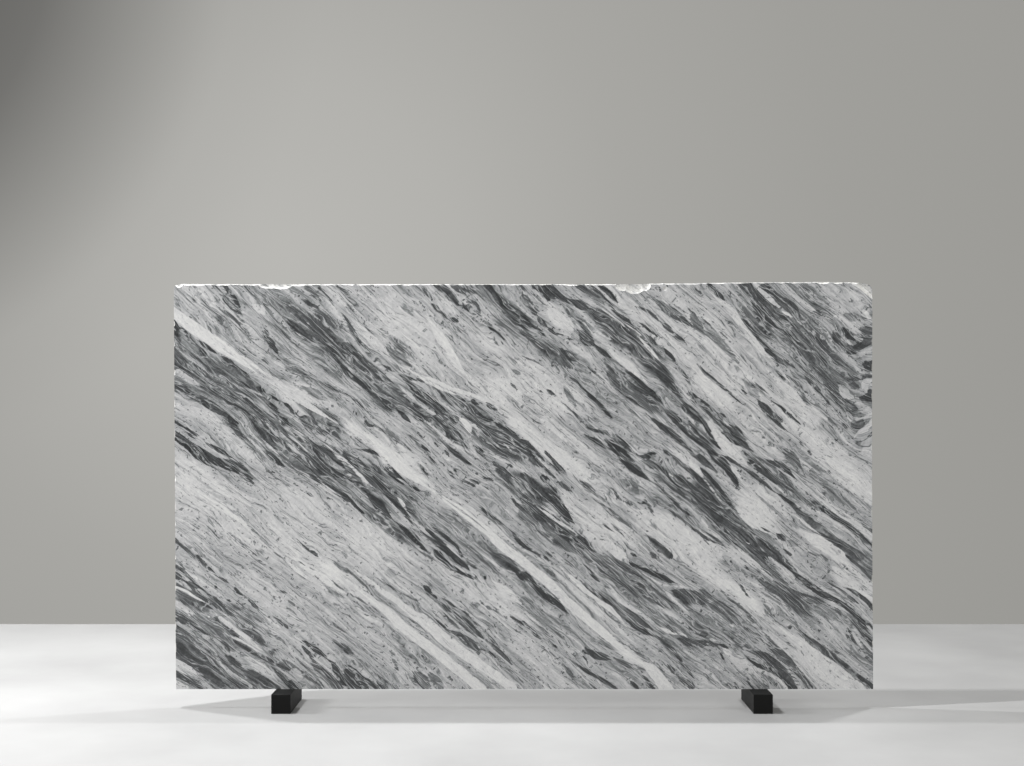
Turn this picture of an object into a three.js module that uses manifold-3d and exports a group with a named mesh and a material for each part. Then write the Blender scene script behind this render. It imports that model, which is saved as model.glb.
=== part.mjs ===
// A slab of marble, standing on its long edge across two square bearer blocks.
//
// Millimetres, +Z up. X runs along the slab, Y from its polished face to its sawn back.
// The origin is on the floor, under the middle of the whole thing.
// The slab is one stone: two flat sawn faces, sawn ends and foot, and a top edge whose
// arrises have crumbled, with a few deeper shell-shaped spalls and two damaged corners.

import * as THREE from "three";
import { mergeVertices } from "three/addons/utils/BufferGeometryUtils.js";
import Module from "manifold-3d";

const wasm = await Module();
wasm.setup();

// ---------------------------------------------------------------- driving dimensions

const SLAB_LENGTH = 2945;
const SLAB_HEIGHT = 1715;
const SLAB_THICKNESS = 20;

const BEARER_SIDE = 80;
const BEARER_LENGTH = 300;
const BEARER_ARRIS = 2;
const BEARER_LEFT_X = -1002;
const BEARER_RIGHT_X = 988;

// The polished face stands this far behind the bearers' front ends.
const FACE_SETBACK = 117;

const STONE_COLOUR = 0x989898;
const BLOCK_COLOUR = 0x1b1c1b;

// ---------------------------------------------------------------- worked out from them

const SLAB_FOOT_Z = BEARER_SIDE;
const SLAB_FRONT_Y = -BEARER_LENGTH / 2 + FACE_SETBACK;
const SLAB_BACK_Y = SLAB_FRONT_Y + SLAB_THICKNESS;
const HALF_LENGTH = SLAB_LENGTH / 2;

// ---------------------------------------------------------------- the slab's outline

// The ends were sawn a little out of true: [height above the foot, how far in from the
// slab's full length].
const LEFT_END = [
  [0, 10],
  [270, 7],
  [560, 6.5],
  [940, 4],
  [1490, 1],
  [1640, 0],
];
const RIGHT_END = [
  [0, 0],
  [120, 0.2],
  [330, 2.2],
  [750, 4],
  [1150, 4.8],
  [1360, 4],
  [1640, 3],
];

// The top edge is level for two thirds of the length and then rises to the right:
// [x from the slab's middle, how far below the full height].
const TOP_EDGE = [
  [490, 9],
  [560, 6.5],
  [720, 5],
  [900, 2.5],
  [1100, 0.5],
  [1250, 0],
  [1395, 2.5],
];

// The top right corner is broken off round: [in from the right end, down from the top].
const BROKEN_CORNER = [
  [45, 5],
  [30, 8],
  [17, 14],
  [8, 22],
  [4, 34],
];

// The top left corner has lost only its tip.
const LEFT_CORNER = [
  [0.5, 27],
  [6, 15],
  [14, 10.5],
  [34, 9],
];

function slabOutline() {
  const outline = new THREE.Shape();
  outline.moveTo(-HALF_LENGTH + LEFT_END[0][1], 0);
  for (const [height, inset] of RIGHT_END) {
    outline.lineTo(HALF_LENGTH - inset, height);
  }
  for (const [inset, drop] of [...BROKEN_CORNER].reverse()) {
    outline.lineTo(HALF_LENGTH - inset, SLAB_HEIGHT - drop);
  }
  for (const [x, drop] of [...TOP_EDGE].reverse()) {
    outline.lineTo(x, SLAB_HEIGHT - drop);
  }
  for (const [inset, drop] of [...LEFT_CORNER].reverse()) {
    outline.lineTo(-HALF_LENGTH + inset, SLAB_HEIGHT - drop);
  }
  for (const [height, inset] of LEFT_END.slice(1).reverse()) {
    outline.lineTo(-HALF_LENGTH + inset, height);
  }
  outline.closePath();
  return outline;
}

// How far the top edge lies below the full height at x, along the points above.
function topDrop(x) {
  if (x <= TOP_EDGE[0][0]) {
    return TOP_EDGE[0][1];
  }
  for (let i = 1; i < TOP_EDGE.length; i += 1) {
    const [x0, drop0] = TOP_EDGE[i - 1];
    const [x1, drop1] = TOP_EDGE[i];
    if (x <= x1) {
      return THREE.MathUtils.mapLinear(x, x0, x1, drop0, drop1);
    }
  }
  return TOP_EDGE[TOP_EDGE.length - 1][1];
}

// How far an end lies inside the slab's full length at a height above the foot.
function endInset(end, height) {
  for (let i = 1; i < end.length; i += 1) {
    const [z0, inset0] = end[i - 1];
    const [z1, inset1] = end[i];
    if (height <= z1) {
      return THREE.MathUtils.mapLinear(height, z0, z1, inset0, inset1);
    }
  }
  return end[end.length - 1][1];
}

// ---------------------------------------------------------------- solids and cuts

function toSolid(geometry) {
  const bare = geometry.clone();
  bare.deleteAttribute("normal");
  bare.deleteAttribute("uv");
  const merged = mergeVertices(bare, 1e-5);
  return new wasm.Manifold(new wasm.Mesh({
    numProp: 3,
    vertProperties: new Float32Array(merged.attributes.position.array),
    triVerts: new Uint32Array(merged.index.array),
  }));
}

function toGeometry(solid) {
  const mesh = solid.getMesh();
  const geometry = new THREE.BufferGeometry();
  geometry.setAttribute("position", new THREE.BufferAttribute(mesh.vertProperties, 3));
  geometry.setIndex(new THREE.BufferAttribute(mesh.triVerts, 1));
  geometry.computeVertexNormals();
  return geometry;
}

// A small repeatable random source, so that every build breaks the edges the same way.
function makeRandom(seed) {
  let state = seed;
  return (low, high) => {
    state = (state * 1664525 + 1013904223) % 4294967296;
    return low + (high - low) * (state / 4294967296);
  };
}

// A chip leaves a shallow faceted shell, like a bite by a ball. Its centre lies
// CHIP_CENTRE chip depths outside the face that it breaks, so that it meets the face
// on a slope.
const CHIP_CENTRE = 1.5;

function chipSolid({ x, z, faceY, outward, width, drop, depth, lean = 0, detail = 1 }) {
  const reach = 1 + CHIP_CENTRE;
  const atFace = Math.sqrt(1 - (CHIP_CENTRE / reach) ** 2);
  const ball = new THREE.IcosahedronGeometry(1, detail);
  ball.rotateY(width * 0.7);
  ball.rotateX(drop * 1.3);
  ball.scale(width / 2 / atFace, depth * reach, drop / atFace);
  ball.rotateY(lean);
  ball.translate(x, faceY + outward * depth * CHIP_CENTRE, z);
  return toSolid(ball);
}

// ---------------------------------------------------------------- the slab's damage

const FRONT = { faceY: SLAB_FRONT_Y, outward: -1 };
const BACK = { faceY: SLAB_BACK_Y, outward: 1 };

const topZ = (x) => SLAB_FOOT_Z + SLAB_HEIGHT - topDrop(x);

// The deeper spalls on the polished face, each of two or three bites side by side.
function spalls() {
  const bites = [
    // a long shallow flake near the left end
    { x: -1072, width: 92, drop: 20, depth: 7 },
    { x: -1022, width: 106, drop: 22, depth: 8 },
    { x: -952, width: 74, drop: 9, depth: 5 },
    // the deepest one, right of the middle
    { x: 418, width: 80, drop: 30, depth: 7, lean: 0.16 },
    { x: 466, width: 104, drop: 43, depth: 10, lean: 0.05 },
    { x: 512, width: 52, drop: 31, depth: 8 },
    // small flakes between and beside them
    { x: 205, width: 70, drop: 8, depth: 5 },
    { x: 1262, width: 60, drop: 9, depth: 5 },
    { x: 1318, width: 44, drop: 7, depth: 4 },
  ];
  return bites.map((bite) => chipSolid({ ...FRONT, ...bite, z: topZ(bite.x), detail: 2 }));
}

// The right corner has shed a slanting flake inside its round break, and the left
// corner a pit at its tip.
function cornerFlakes() {
  const top = SLAB_FOOT_Z + SLAB_HEIGHT;
  const flakes = [
    { x: 1436, z: top - 24, width: 96, drop: 17, depth: 6, lean: 0.72 },
    { x: 1462, z: top - 50, width: 60, drop: 14, depth: 5, lean: 0.85 },
    { x: -1452, z: top - 11, width: 32, drop: 13, depth: 9, lean: 0.2 },
    { x: 596, z: top - 28, width: 18, drop: 11, depth: 2, lean: 0.4 },
  ];
  return flakes.map((flake) => chipSolid({ ...FRONT, ...flake, detail: 2 }));
}

// Both top arrises have crumbled from end to end; the front one more.
function crumbledTop(face, random, { pitch, width, drop, depth }) {
  const chips = [];
  let x = -HALF_LENGTH + random(...pitch);
  while (x < HALF_LENGTH - 60) {
    chips.push(chipSolid({
      ...face,
      x,
      z: topZ(x),
      width: random(...width),
      drop: random(...drop),
      depth: random(...depth),
    }));
    x += random(...pitch);
  }
  return chips;
}

// Here and there a chip has gone from an end's upright arris.
function chippedEnd(face, random, end, side, pitch) {
  const chips = [];
  let height = random(...pitch);
  while (height < SLAB_HEIGHT - 80) {
    chips.push(chipSolid({
      ...face,
      x: side * (HALF_LENGTH - endInset(end, height)),
      z: SLAB_FOOT_Z + height,
      width: random(4, 9),
      drop: random(8, 26),
      depth: random(2, 4),
    }));
    height += random(...pitch);
  }
  return chips;
}

// ---------------------------------------------------------------- pieces

function slab() {
  const plain = new THREE.ExtrudeGeometry(slabOutline(), {
    depth: SLAB_THICKNESS,
    bevelEnabled: false,
  });
  plain.rotateX(Math.PI / 2);
  plain.translate(0, SLAB_BACK_Y, SLAB_FOOT_Z);

  const random = makeRandom(20);
  const cuts = [
    ...spalls(),
    ...cornerFlakes(),
    ...crumbledTop(FRONT, random, { pitch: [18, 46], width: [34, 84], drop: [3, 6.5], depth: [2, 5] }),
    ...crumbledTop(BACK, random, { pitch: [40, 110], width: [30, 110], drop: [3, 9], depth: [2, 6] }),
    ...chippedEnd(FRONT, random, LEFT_END, -1, [60, 190]),
    ...chippedEnd(FRONT, random, RIGHT_END, 1, [60, 190]),
    ...chippedEnd(BACK, random, LEFT_END, -1, [90, 260]),
    ...chippedEnd(BACK, random, RIGHT_END, 1, [90, 260]),
  ];
  let stone = toSolid(plain);
  for (const cut of cuts) {
    stone = stone.subtract(cut);
  }

  const material = new THREE.MeshStandardMaterial({
    color: STONE_COLOUR,
    roughness: 0.18,
    metalness: 0,
    flatShading: true,
  });
  const mesh = new THREE.Mesh(toGeometry(stone), material);
  mesh.name = "slab";
  return mesh;
}

// A square block that lies front to back, with its arrises just taken off.
function bearer(name, x) {
  const half = BEARER_SIDE / 2;
  const cut = half - BEARER_ARRIS;
  const section = new THREE.Shape();
  section.moveTo(-cut, -half);
  section.lineTo(cut, -half);
  section.lineTo(half, -cut);
  section.lineTo(half, cut);
  section.lineTo(cut, half);
  section.lineTo(-cut, half);
  section.lineTo(-half, cut);
  section.lineTo(-half, -cut);
  section.closePath();

  const geometry = new THREE.ExtrudeGeometry(section, {
    depth: BEARER_LENGTH - 2 * BEARER_ARRIS,
    bevelEnabled: true,
    bevelSegments: 1,
    bevelSize: BEARER_ARRIS,
    bevelOffset: -BEARER_ARRIS,
    bevelThickness: BEARER_ARRIS,
  });
  geometry.translate(0, 0, BEARER_ARRIS - BEARER_LENGTH / 2);
  geometry.rotateX(Math.PI / 2);
  geometry.translate(0, 0, half);

  const material = new THREE.MeshStandardMaterial({
    color: BLOCK_COLOUR,
    roughness: 0.8,
    metalness: 0,
  });
  const mesh = new THREE.Mesh(geometry, material);
  mesh.name = name;
  mesh.position.x = x;
  return mesh;
}

const model = new THREE.Group();
model.add(bearer("bearer_left", BEARER_LEFT_X));
model.add(bearer("bearer_right", BEARER_RIGHT_X));
model.add(slab());

export default model;
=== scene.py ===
"""A polished marble slab on two bearer blocks, laid out as a Blender add-on and run as a script."""
import math

import bmesh
import bpy
import numpy as np
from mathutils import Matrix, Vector


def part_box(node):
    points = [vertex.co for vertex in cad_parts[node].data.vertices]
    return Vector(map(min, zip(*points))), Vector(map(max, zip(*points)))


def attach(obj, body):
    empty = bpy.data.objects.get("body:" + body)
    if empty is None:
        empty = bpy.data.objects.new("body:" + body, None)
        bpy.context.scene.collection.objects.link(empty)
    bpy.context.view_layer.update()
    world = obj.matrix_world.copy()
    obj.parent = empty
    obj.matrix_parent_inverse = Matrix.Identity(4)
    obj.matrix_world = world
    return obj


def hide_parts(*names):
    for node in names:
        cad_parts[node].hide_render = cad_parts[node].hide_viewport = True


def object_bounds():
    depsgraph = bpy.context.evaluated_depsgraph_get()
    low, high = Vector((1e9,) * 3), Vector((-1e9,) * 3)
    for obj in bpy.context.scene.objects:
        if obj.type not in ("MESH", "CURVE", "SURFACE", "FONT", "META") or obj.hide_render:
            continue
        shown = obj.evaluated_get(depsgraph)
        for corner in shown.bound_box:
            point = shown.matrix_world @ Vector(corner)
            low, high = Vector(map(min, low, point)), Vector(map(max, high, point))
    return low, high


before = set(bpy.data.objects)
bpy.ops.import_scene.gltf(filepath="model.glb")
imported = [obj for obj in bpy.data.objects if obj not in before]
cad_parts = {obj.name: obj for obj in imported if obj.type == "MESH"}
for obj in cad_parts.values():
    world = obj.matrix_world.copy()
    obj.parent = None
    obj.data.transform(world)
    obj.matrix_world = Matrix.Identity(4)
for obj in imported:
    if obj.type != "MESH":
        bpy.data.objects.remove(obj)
CAD_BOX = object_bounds()

bl_info = {
    "name": "Marble slab on bearers",
    "version": (1, 0, 0),
    "blender": (4, 5, 0),
    "location": "3D View > Sidebar > Marble slab",
    "description": "Builds a veined marble slab, its bearer blocks and a plain studio",
    "category": "Add Mesh",
}

MM = 0.001

# ------------------------------------------------------------------ the slab's drawing
# The beds of the stone, each placed one by one. A line is one bed: its grey from 0 to 255, its
# width, and its points as column,row. They count in squares of 4.211 mm, to the right and
# down, and the slab's top left corner lies at column 174, row 284.
SQUARE = 4.211 * MM
DRAWING_MIDDLE = 523.7
DRAWING_FOOT = 689.1

BEDS = """
168 30 174,290 200,310 230,328
172 30 262,385 285,398 310,410 350,430
182 20 205,425 225,435 245,450 265,462
188 60 174,480 220,510 260,530 300,545 350,580
160 20 174,535 190,548 205,570
172 50 230,570 270,600 310,640
130 30 174,600 200,620 230,640 260,655
110 40 174,650 200,670 240,690
140 30 250,290 280,310 310,330
110 34 285,305 310,325 340,350 360,370
168 20 285,345 305,358 330,375 350,392
110 30 174,350 200,370 230,390 260,412
100 40 245,405 275,435 310,460 350,490
205 12 168,310 180,318 200,332 215,342 230,352 245,364 258,374
205 3 232,350 245,358 258,368 270,377 280,384
122 14 212,360 225,366 238,374 250,380
72 3.5 196,338 203,344 212,351 218,355
72 3.5 220,356 228,361 234,366 238,370
75 2.5 239,368 246,374 252,381
78 2.5 190,338 198,346 205,356 211,363
80 4 175,332 177,335
135 12 180,332 190,345 200,358
88 9 174,386 186,390 200,399 214,407 228,416 240,424
145 1.5 176,389 190,396 205,404
182 14 174,402 190,410 210,418 230,430
85 5 225,394 238,404 248,412 256,420
82 3 264,402 271,408 278,418 284,424
160 2 248,397 260,406 270,418
78 2.5 280,401 288,405 294,411
85 3 213,285 220,293 228,304 236,313 244,322
80 6 223,286 229,292 235,300 239,307
175 1.5 219,287 226,297 234,308 240,316
118 3 244,285 252,293 260,301
95 3 261,303 267,306 271,311
95 2.5 192,297 198,303
110 1.5 200,304 208,311 216,318 224,325 231,333
98 3 216,306 224,312 233,318 240,324 246,332
185 8 200,286 210,298 218,306
188 8 252,304 260,309 266,316
175 6 240,330 252,345 266,362 275,372
82 5 262,331 268,340 274,348 279,356
90 3 264,328 270,335
80 3 279,358 285,366 292,370 302,373 314,376
100 1.5 282,366 292,373 305,377 318,381 330,388 345,397
95 4 268,320 280,330 290,340 298,346
80 4.5 283,318 292,327 302,335 312,341 317,344
92 7 285,305 296,313 308,323 318,331
88 9 302,299 312,307 323,315 333,324 338,333
84 7 318,325 328,335 338,345 348,356
165 1.5 290,312 302,323 314,334
165 1.5 303,305 312,314 325,324
170 2 278,322 288,333 300,343 312,352
105 5 307,287 315,295 322,302
90 2.5 318,287 326,294 332,302 337,313
178 8 325,287 335,297 345,310
95 2 336,285 343,291 350,299
125 4 262,356 270,366
140 8 300,385 315,393 330,402
74 9 218,458 230,465 240,474
82 4 205,442 215,448 225,455
80 4 232,457 240,465 248,472 253,480 255,487
85 2 186,432 192,437 198,439
88 1.5 184,428 192,433 200,438
170 6 240,512 255,525 270,537 285,548
205 4 262,520 275,530 290,545 300,556
200 4 240,535 255,545 265,553
140 2 245,524 255,532 268,543 280,552
115 2 295,537 301,544 308,550 318,556
130 1.5 180,520 190,525 200,530
110 2 228,532 234,537
120 2 240,542 250,550
85 3 175,540 182,546 188,551 192,556
190 40 262,480 285,500 310,515 340,525
172 20 250,500 265,520
175 12 300,528 320,535
85 2 306,492 314,498
95 3 292,482 300,487
95 3 266,470 273,474
82 6 228,418 234,426 240,434 246,441
80 6 262,418 272,430 282,441 292,450 304,460 318,471 330,482 342,492 350,500
82 8 262,449 270,455 278,462 285,467
180 3 240,428 250,440 262,451 272,462 284,470
172 2.5 258,432 268,444 280,456
110 8 285,462 300,470 315,478 330,487
175 2 293,466 305,475 318,484 330,492 340,498
80 4 312,472 322,481 335,491 348,500
180 2 290,425 297,432 306,442 318,452 330,462
178 5 280,420 288,430 296,440 306,448
84 6 281,418 288,426
100 10 306,420 318,430 325,436
90 6 318,438 328,446 340,456 350,466
180 2 316,438 326,445 336,453 348,462
78 6 330,466 340,474 350,481
84 5 305,440 315,450 325,458
115 6 300,452 315,462 328,471
168 20 180,558 200,575
82 2.5 198,556 203,562 210,569 218,576
78 3 220,577 230,584
82 2.5 232,587 239,593 246,597
80 3 246,597 253,604 259,612
92 3 176,566 185,573 195,582 205,592
95 4 183,580 192,588 202,596 212,603 222,612
90 1.5 220,602 235,612 250,622
90 2.5 240,616 250,624 257,630
105 9 245,628 256,636 266,643
180 4 210,615 225,622 240,633 255,645 268,655
80 2 214,615 220,622
85 2 225,626 235,633 245,640
130 8 176,598 190,605 205,613
90 2.5 176,612 184,617 195,624
88 3 176,626 186,632 198,639
165 6 202,634 210,639
120 10 215,630 228,638 240,645
86 7 186,655 198,664 210,673 220,683
115 8 180,640 195,650 208,660
92 6 205,648 214,655 222,662 230,668
84 7 225,655 235,663 244,670
150 10 235,650 250,658 262,664
165 8 248,664 262,671 274,680
95 8 240,668 255,678 270,687
95 5 262,645 275,655 285,664
85 5 272,668 282,677 292,687
168 8 178,668 190,674 200,680
88 6 175,673 188,680 200,687
160 6 176,683 186,688
98 6 255,655 270,662 290,668 305,675 320,687
172 12 292,670 300,680
76 6 305,641 315,649 326,656
80 4 300,640 304,648 312,656 320,664
110 10 310,662 325,675 338,687
178 25 262,600 282,622 306,638
110 4 272,615 285,625 292,632
120 5 250,610 258,618 266,624
190 20 300,560 325,580 345,600
150 5 318,578 330,590 345,603
105 2.5 304,593 308,597
205 5 285,560 300,572 310,580
150 4 334,560 342,568 350,576
186 60 375,292 400,320 425,350 445,375
95 26 355,374 380,392 405,406 435,424
200 20 470,378 490,394 515,412
188 14 475,328 490,344 505,360 515,375
130 10 475,286 487,297 500,310
110 2 347,292 352,298
115 1.5 347,305 355,313 361,320 367,328 373,334 379,340
105 2.5 373,333 376,337
100 2.5 347,321 353,328 357,336 362,345 369,353 373,357
190 6 350,312 362,328 372,342 382,353 392,362
205 4 390,362 405,368 420,375 436,381 450,388 466,393 482,399 497,407 512,417 527,427
120 8 385,345 391,352 399,358 407,363 413,366
110 3 392,341 400,345 408,352 415,358
85 9 347,346 355,355 365,364 375,371 385,377 396,385
90 3 380,363 390,369 396,373
82 4 398,373 408,378 418,381
82 4 416,378 423,381
80 4 471,399 477,403
165 2 415,383 430,392 440,401 450,408 459,416
168 4 347,384 355,389 362,396 368,403
160 8 368,412 379,419
105 3 424,287 430,296 434,302
80 4 431,303 437,310 443,313 447,319
78 4 448,318 453,320 458,323
130 1.5 412,300 420,306
130 1.5 408,288 412,294
207 10 424,313 432,325 441,337 448,350 455,361 463,371 472,379
165 3 426,326 436,341 445,356 453,369 463,381
190 8 440,295 450,308 457,316
160 1.5 450,287 458,297 465,304 473,312
85 3.5 483,320 490,327 497,333 504,339
105 2.5 493,339 499,346
150 5 483,362 488,366
145 4 488,363 498,365
85 5 487,403 490,407
95 3 491,406 494,410
100 2 480,402 484,405
160 24 400,425 420,445 440,465 460,480 480,495
90 26 475,420 495,435 515,450 530,463
105 30 345,455 365,475 385,495 400,515
125 16 420,498 435,516 452,530 470,542 490,553 510,566
185 44 345,522 370,538 395,555
214 14 352,426 368,436 382,448 394,461 408,471 424,480 434,487
214 6 430,488 445,498 458,507 472,517 486,529 500,541 514,552 530,566
190 12 372,426 388,436 402,450 416,460 432,474
185 6 442,490 460,501 478,515 495,528 512,543 526,554
82 3 364,417 366,424 370,426 375,424
85 3.5 374,424 380,428 388,434 396,440 403,444 408,448 413,453
100 1.5 378,423 390,430 400,438
90 2.5 415,464 420,466 425,472 429,477 431,481
100 2 446,468 450,474 457,480
82 3 457,478 464,481 472,483
82 3.5 472,479 480,485
88 2.5 470,484 477,487
115 1.5 453,483 462,487 470,492
88 2.5 460,458 466,463 470,466
82 13 425,417 438,425 452,435 466,445
180 2.5 430,430 445,440 460,447 472,453 478,457
190 4 464,418 470,426 472,432
160 1.5 478,430 490,438 500,447 510,452
180 3 480,448 492,455 503,460 515,467 527,470
78 6 483,418 500,425 515,436 528,449
80 6 484,462 495,466 505,472 520,485
205 10 506,418 520,426 530,434
88 2 501,418 509,429
85 3 488,478 494,481
85 2.5 481,476 486,480
150 8 485,485 500,497 515,510
85 2 511,493 514,500 520,508 524,510
90 3 518,488 528,498
78 3.5 479,507 486,513 493,520 500,524 505,526
90 2.5 505,526 512,532 520,540 528,546
92 3 353,448 362,450 372,452 380,457
88 5 372,463 378,470 383,476
82 4 381,460 385,468 392,475 400,478 406,481
165 1 383,462 388,471 393,476
120 6 426,490 431,496
80 8 347,454 357,464 367,472 378,481 389,490 400,502
190 3 354,471 362,478 371,485
175 3 370,484 380,492 390,502 400,511 412,520 425,531 440,542 456,554
78 8 395,520 403,528 412,536 421,546 431,554
165 1.5 400,520 408,530 415,540 422,548
80 4 420,530 432,540 445,550 453,557
88 4 428,523 437,530 447,538 455,545 460,552
190 26 450,572 480,590 510,610 530,622
165 16 500,622 512,636 522,652
172 26 430,655 450,672 465,690
170 30 380,640 405,665 425,688
150 24 347,655 365,672 385,688
202 8 365,577 385,591 405,605 425,619 440,633 455,645 470,656 486,668 500,679 513,689
192 5 380,570 400,586 420,600
165 4 370,588 385,600 400,612 415,624 430,633
100 1.5 376,577 385,583 393,589 399,592
120 2 400,600 415,608 425,614
160 8 405,600 420,608 432,612
82 3 463,610 467,614 470,618
85 2.5 433,617 438,621 445,628 452,635
85 7 460,632 468,640 475,647 481,654
95 3 480,645 484,652
85 3 485,650 493,655 502,661
92 4 490,640 496,648 503,655 510,664
95 5 487,638 493,645
78 4 437,556 443,562 450,567 460,572 472,578 480,582
90 4 484,575 486,580
85 2.5 482,583 486,585
110 3 472,603 475,604
110 3 480,602 483,603
120 3 485,605 493,610
115 2.5 493,608 500,614 507,620
85 2 506,617 508,622
150 6 393,645 405,650 413,655
105 2.5 391,657 396,665 400,670
110 9 412,671 420,677 429,684
120 5 430,672 438,680 442,687
125 4 422,655 430,662
95 3 347,650 355,655
105 4 351,658 356,664 362,668
80 4 355,667 358,673 362,680 367,688
82 3.5 360,674 368,681 376,688
85 3 383,686 386,689
120 2 370,668 380,678 388,688
175 4 360,668 368,676 374,682
130 2 405,670 412,680 418,688
90 3 393,682 398,688
150 24 524,335 545,350 570,365 600,392 620,410
190 34 524,372 545,390 570,410
120 12 540,345 560,358 580,372
92 16 605,360 620,380 635,395 652,411
90 16 580,302 600,318 620,338 645,356
188 14 660,336 680,352 700,372
175 12 665,286 685,300 704,314
95 7 545,287 550,294 556,300
85 2 541,292 548,300
190 14 543,300 553,312 562,325 570,335
105 3 564,304 568,312 573,320
78 3 524,318 532,325 540,330 547,334
110 3 530,293 536,303 540,312
90 3 546,325 551,330 556,334 563,335
92 2 560,340 568,339 575,340
165 3 526,290 532,300 538,310
180 6 565,340 578,350 590,358 598,365
195 4 583,356 590,355 592,360
85 7 578,332 583,338 588,344 593,346
95 6 595,345 603,352 612,358
88 10 588,308 600,318 612,330 622,340
170 3 560,285 575,298 590,308 605,316 615,325 622,330
175 3 575,290 588,300 600,307
150 2 572,310 585,320 600,332 610,340
105 7 578,285 590,292 600,300 607,308
85 4 588,285 598,292 608,302 620,314
180 2 596,285 606,296 616,305
190 6 607,285 615,294 622,304 630,313 640,322 652,330 662,338
78 3 686,378 692,386
180 3 665,362 672,372 680,382 690,395 698,405
185 3 606,346 613,352 620,357
190 7 615,353 625,362 635,370 645,378
165 2 600,355 605,365 610,375
92 2.5 564,373 575,381 583,388 592,396 602,405 612,414
190 8 562,382 570,390 580,398 590,408
110 2 558,398 566,406 575,414 582,420
140 2 524,398 535,405
90 3 594,370 598,376
140 6 655,290 665,300
85 3 655,285 660,290
110 4 672,335 680,340 686,344
190 5 650,303 665,318 680,332 695,345
110 4 692,287 700,294 705,299
95 3 685,305 695,315 704,326
80 5 680,400 690,408 700,418
78 5 664,408 670,415 675,421
195 18 620,502 635,512 650,522 668,533 690,547
190 10 545,420 565,435 590,455 612,476
150 10 650,488 665,503 682,516 704,532
195 16 565,500 577,516 592,532 608,548
90 12 524,445 534,456 548,470
115 12 524,514 540,525 556,538 572,549 588,558
78 4 583,424 595,430 608,433 618,438 628,445 636,454
74 9 604,438 612,443 620,449 628,456 636,463
76 4 620,456 630,463 640,470 648,478
80 4 636,455 645,457 652,456 658,453
185 4 630,440 640,450 650,450 660,447
100 7 640,460 655,465 665,470
180 2 660,459 668,463
85 5 663,450 668,454 675,458 682,464 692,472 702,481
185 5 665,445 680,457 690,466 704,475
82 6 670,418 685,430 700,443 705,448
165 2 680,420 690,430 700,438
80 6 675,475 685,482 695,490 705,496
88 5 650,475 660,485 670,495 680,507 685,515
185 2 662,487 672,497 680,504
95 2.5 660,502 672,512 685,522 705,538
100 2 611,487 615,493 620,499 627,503
190 2 615,490 622,498
120 4 580,483 588,490 597,494
105 3.5 598,500 610,510 620,518 630,526 638,533
95 5 650,552 657,559
85 3 630,552 636,556
200 10 600,540 612,548 622,556
165 2 535,452 545,465 555,477
88 4 544,450 550,456 556,463 563,470 570,478
80 8 524,475 532,483 540,490 548,498 556,505 563,515 572,526
80 8 545,485 552,490 557,497
78 8 524,499 536,507 550,517 562,525 575,533 585,540 595,550
185 2.5 535,503 545,508 555,515 565,523
165 2 530,525 545,540 560,552
88 4 524,545 535,552 543,559
90 2 545,550 552,556
100 24 590,560 610,570 632,582 650,594 668,606
130 30 650,610 675,635 700,660
145 20 610,640 640,665 670,688
165 22 560,640 590,665 620,688
175 24 524,645 545,665 560,688
212 11 640,660 652,670 660,680 666,690
192 7 540,560 555,572 570,585 585,600 600,613 615,625 630,640 641,651
74 6 524,575 530,580 537,588 545,595 553,603
74 5 548,594 555,600 562,607 569,615
78 2.5 524,572 532,577
195 3 543,588 546,593
110 1.5 590,600 600,608 612,618 622,626 630,633
92 4 560,558 568,563 575,568
85 3 545,556 550,562
92 3 580,560 590,570 598,580
92 2 593,573 598,580 602,585
80 4 620,558 635,565 650,572 662,578 672,584
74 6 655,572 664,578 675,583
95 12 670,590 685,595 702,599
190 1.5 660,583 670,586 680,587 696,589
185 2.5 660,585 667,593 675,601 683,608 690,615
165 1.5 615,583 625,592 635,600 645,612 655,622
165 2 600,575 612,583 620,590
165 2 655,603 665,612 678,618 685,622
88 5 665,625 672,628 677,633
88 4 678,635 690,640 705,646
90 5 655,635 665,642 675,652 682,660
92 5 663,663 670,668 678,675 685,682 692,688
88 4 678,660 688,670 695,680
190 1.5 665,665 670,672 680,678
165 2 640,645 650,652 660,660
130 8 524,600 535,612 545,622 555,632 565,640
130 5 545,612 560,622 575,630
80 2.5 524,622 530,628 536,632
80 3.5 532,631 538,636 543,640
82 2 553,644 558,648
100 3 547,650 555,656 560,660
85 3 573,662 583,668 595,676 605,682 617,689
95 7 585,647 590,652 600,657 612,660
90 2 582,650 587,654
85 2 583,655 588,662
100 3 612,658 622,661 635,666
115 4 600,640 608,646 616,651
85 2 621,655 624,659
85 2.5 640,670 644,675
95 3 630,680 638,688
160 8 600,665 615,675 630,685
190 2 613,672 620,677
195 4 560,684 568,688
190 40 701,330 730,365 760,395 785,420
108 46 775,300 795,325 815,352 835,385 850,410
160 30 845,290 855,305 862,318
160 10 720,287 731,293 739,301
202 12 720,299 736,313 747,330 756,341 766,355 773,368 782,380 792,391 805,402 819,413 830,422
93 4 709,284 714,290 720,295 725,300 729,304
95 2.5 771,357 775,361 779,365
88 3 799,395 805,401 812,407
165 2 730,303 739,311 747,320 756,329
108 9 741,305 747,311 755,320 760,327
105 4 741,319 750,329 758,338 766,347 775,355 782,363 792,372 797,377
105 5 741,285 747,290 752,295
88 6 747,287 751,294 756,300
98 13 753,286 758,293 764,299 771,307 777,314 785,320 794,327
165 1 768,310 772,317 777,323
98 8 766,287 773,294 780,300 787,307 794,311 800,318 803,324
183 4 786,286 793,293 800,300 808,306 814,311 823,317 831,319
92 4 782,304 789,309 797,313
118 9 802,288 811,293 817,299
185 2 814,302 820,301
95 4 811,311 820,313 818,321
150 3 808,317 806,324 812,330
120 8 843,314 850,317 859,321
198 4 862,308 867,314 870,318
188 4 830,319 836,316 843,319 851,325 857,331 864,337
165 3 856,323 860,320 866,321 872,326
84 5 861,333 867,333 873,332
80 7 834,332 838,339 843,344 850,349 855,349 863,345 873,339
172 5 840,351 846,356 852,361 857,366 859,370
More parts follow.
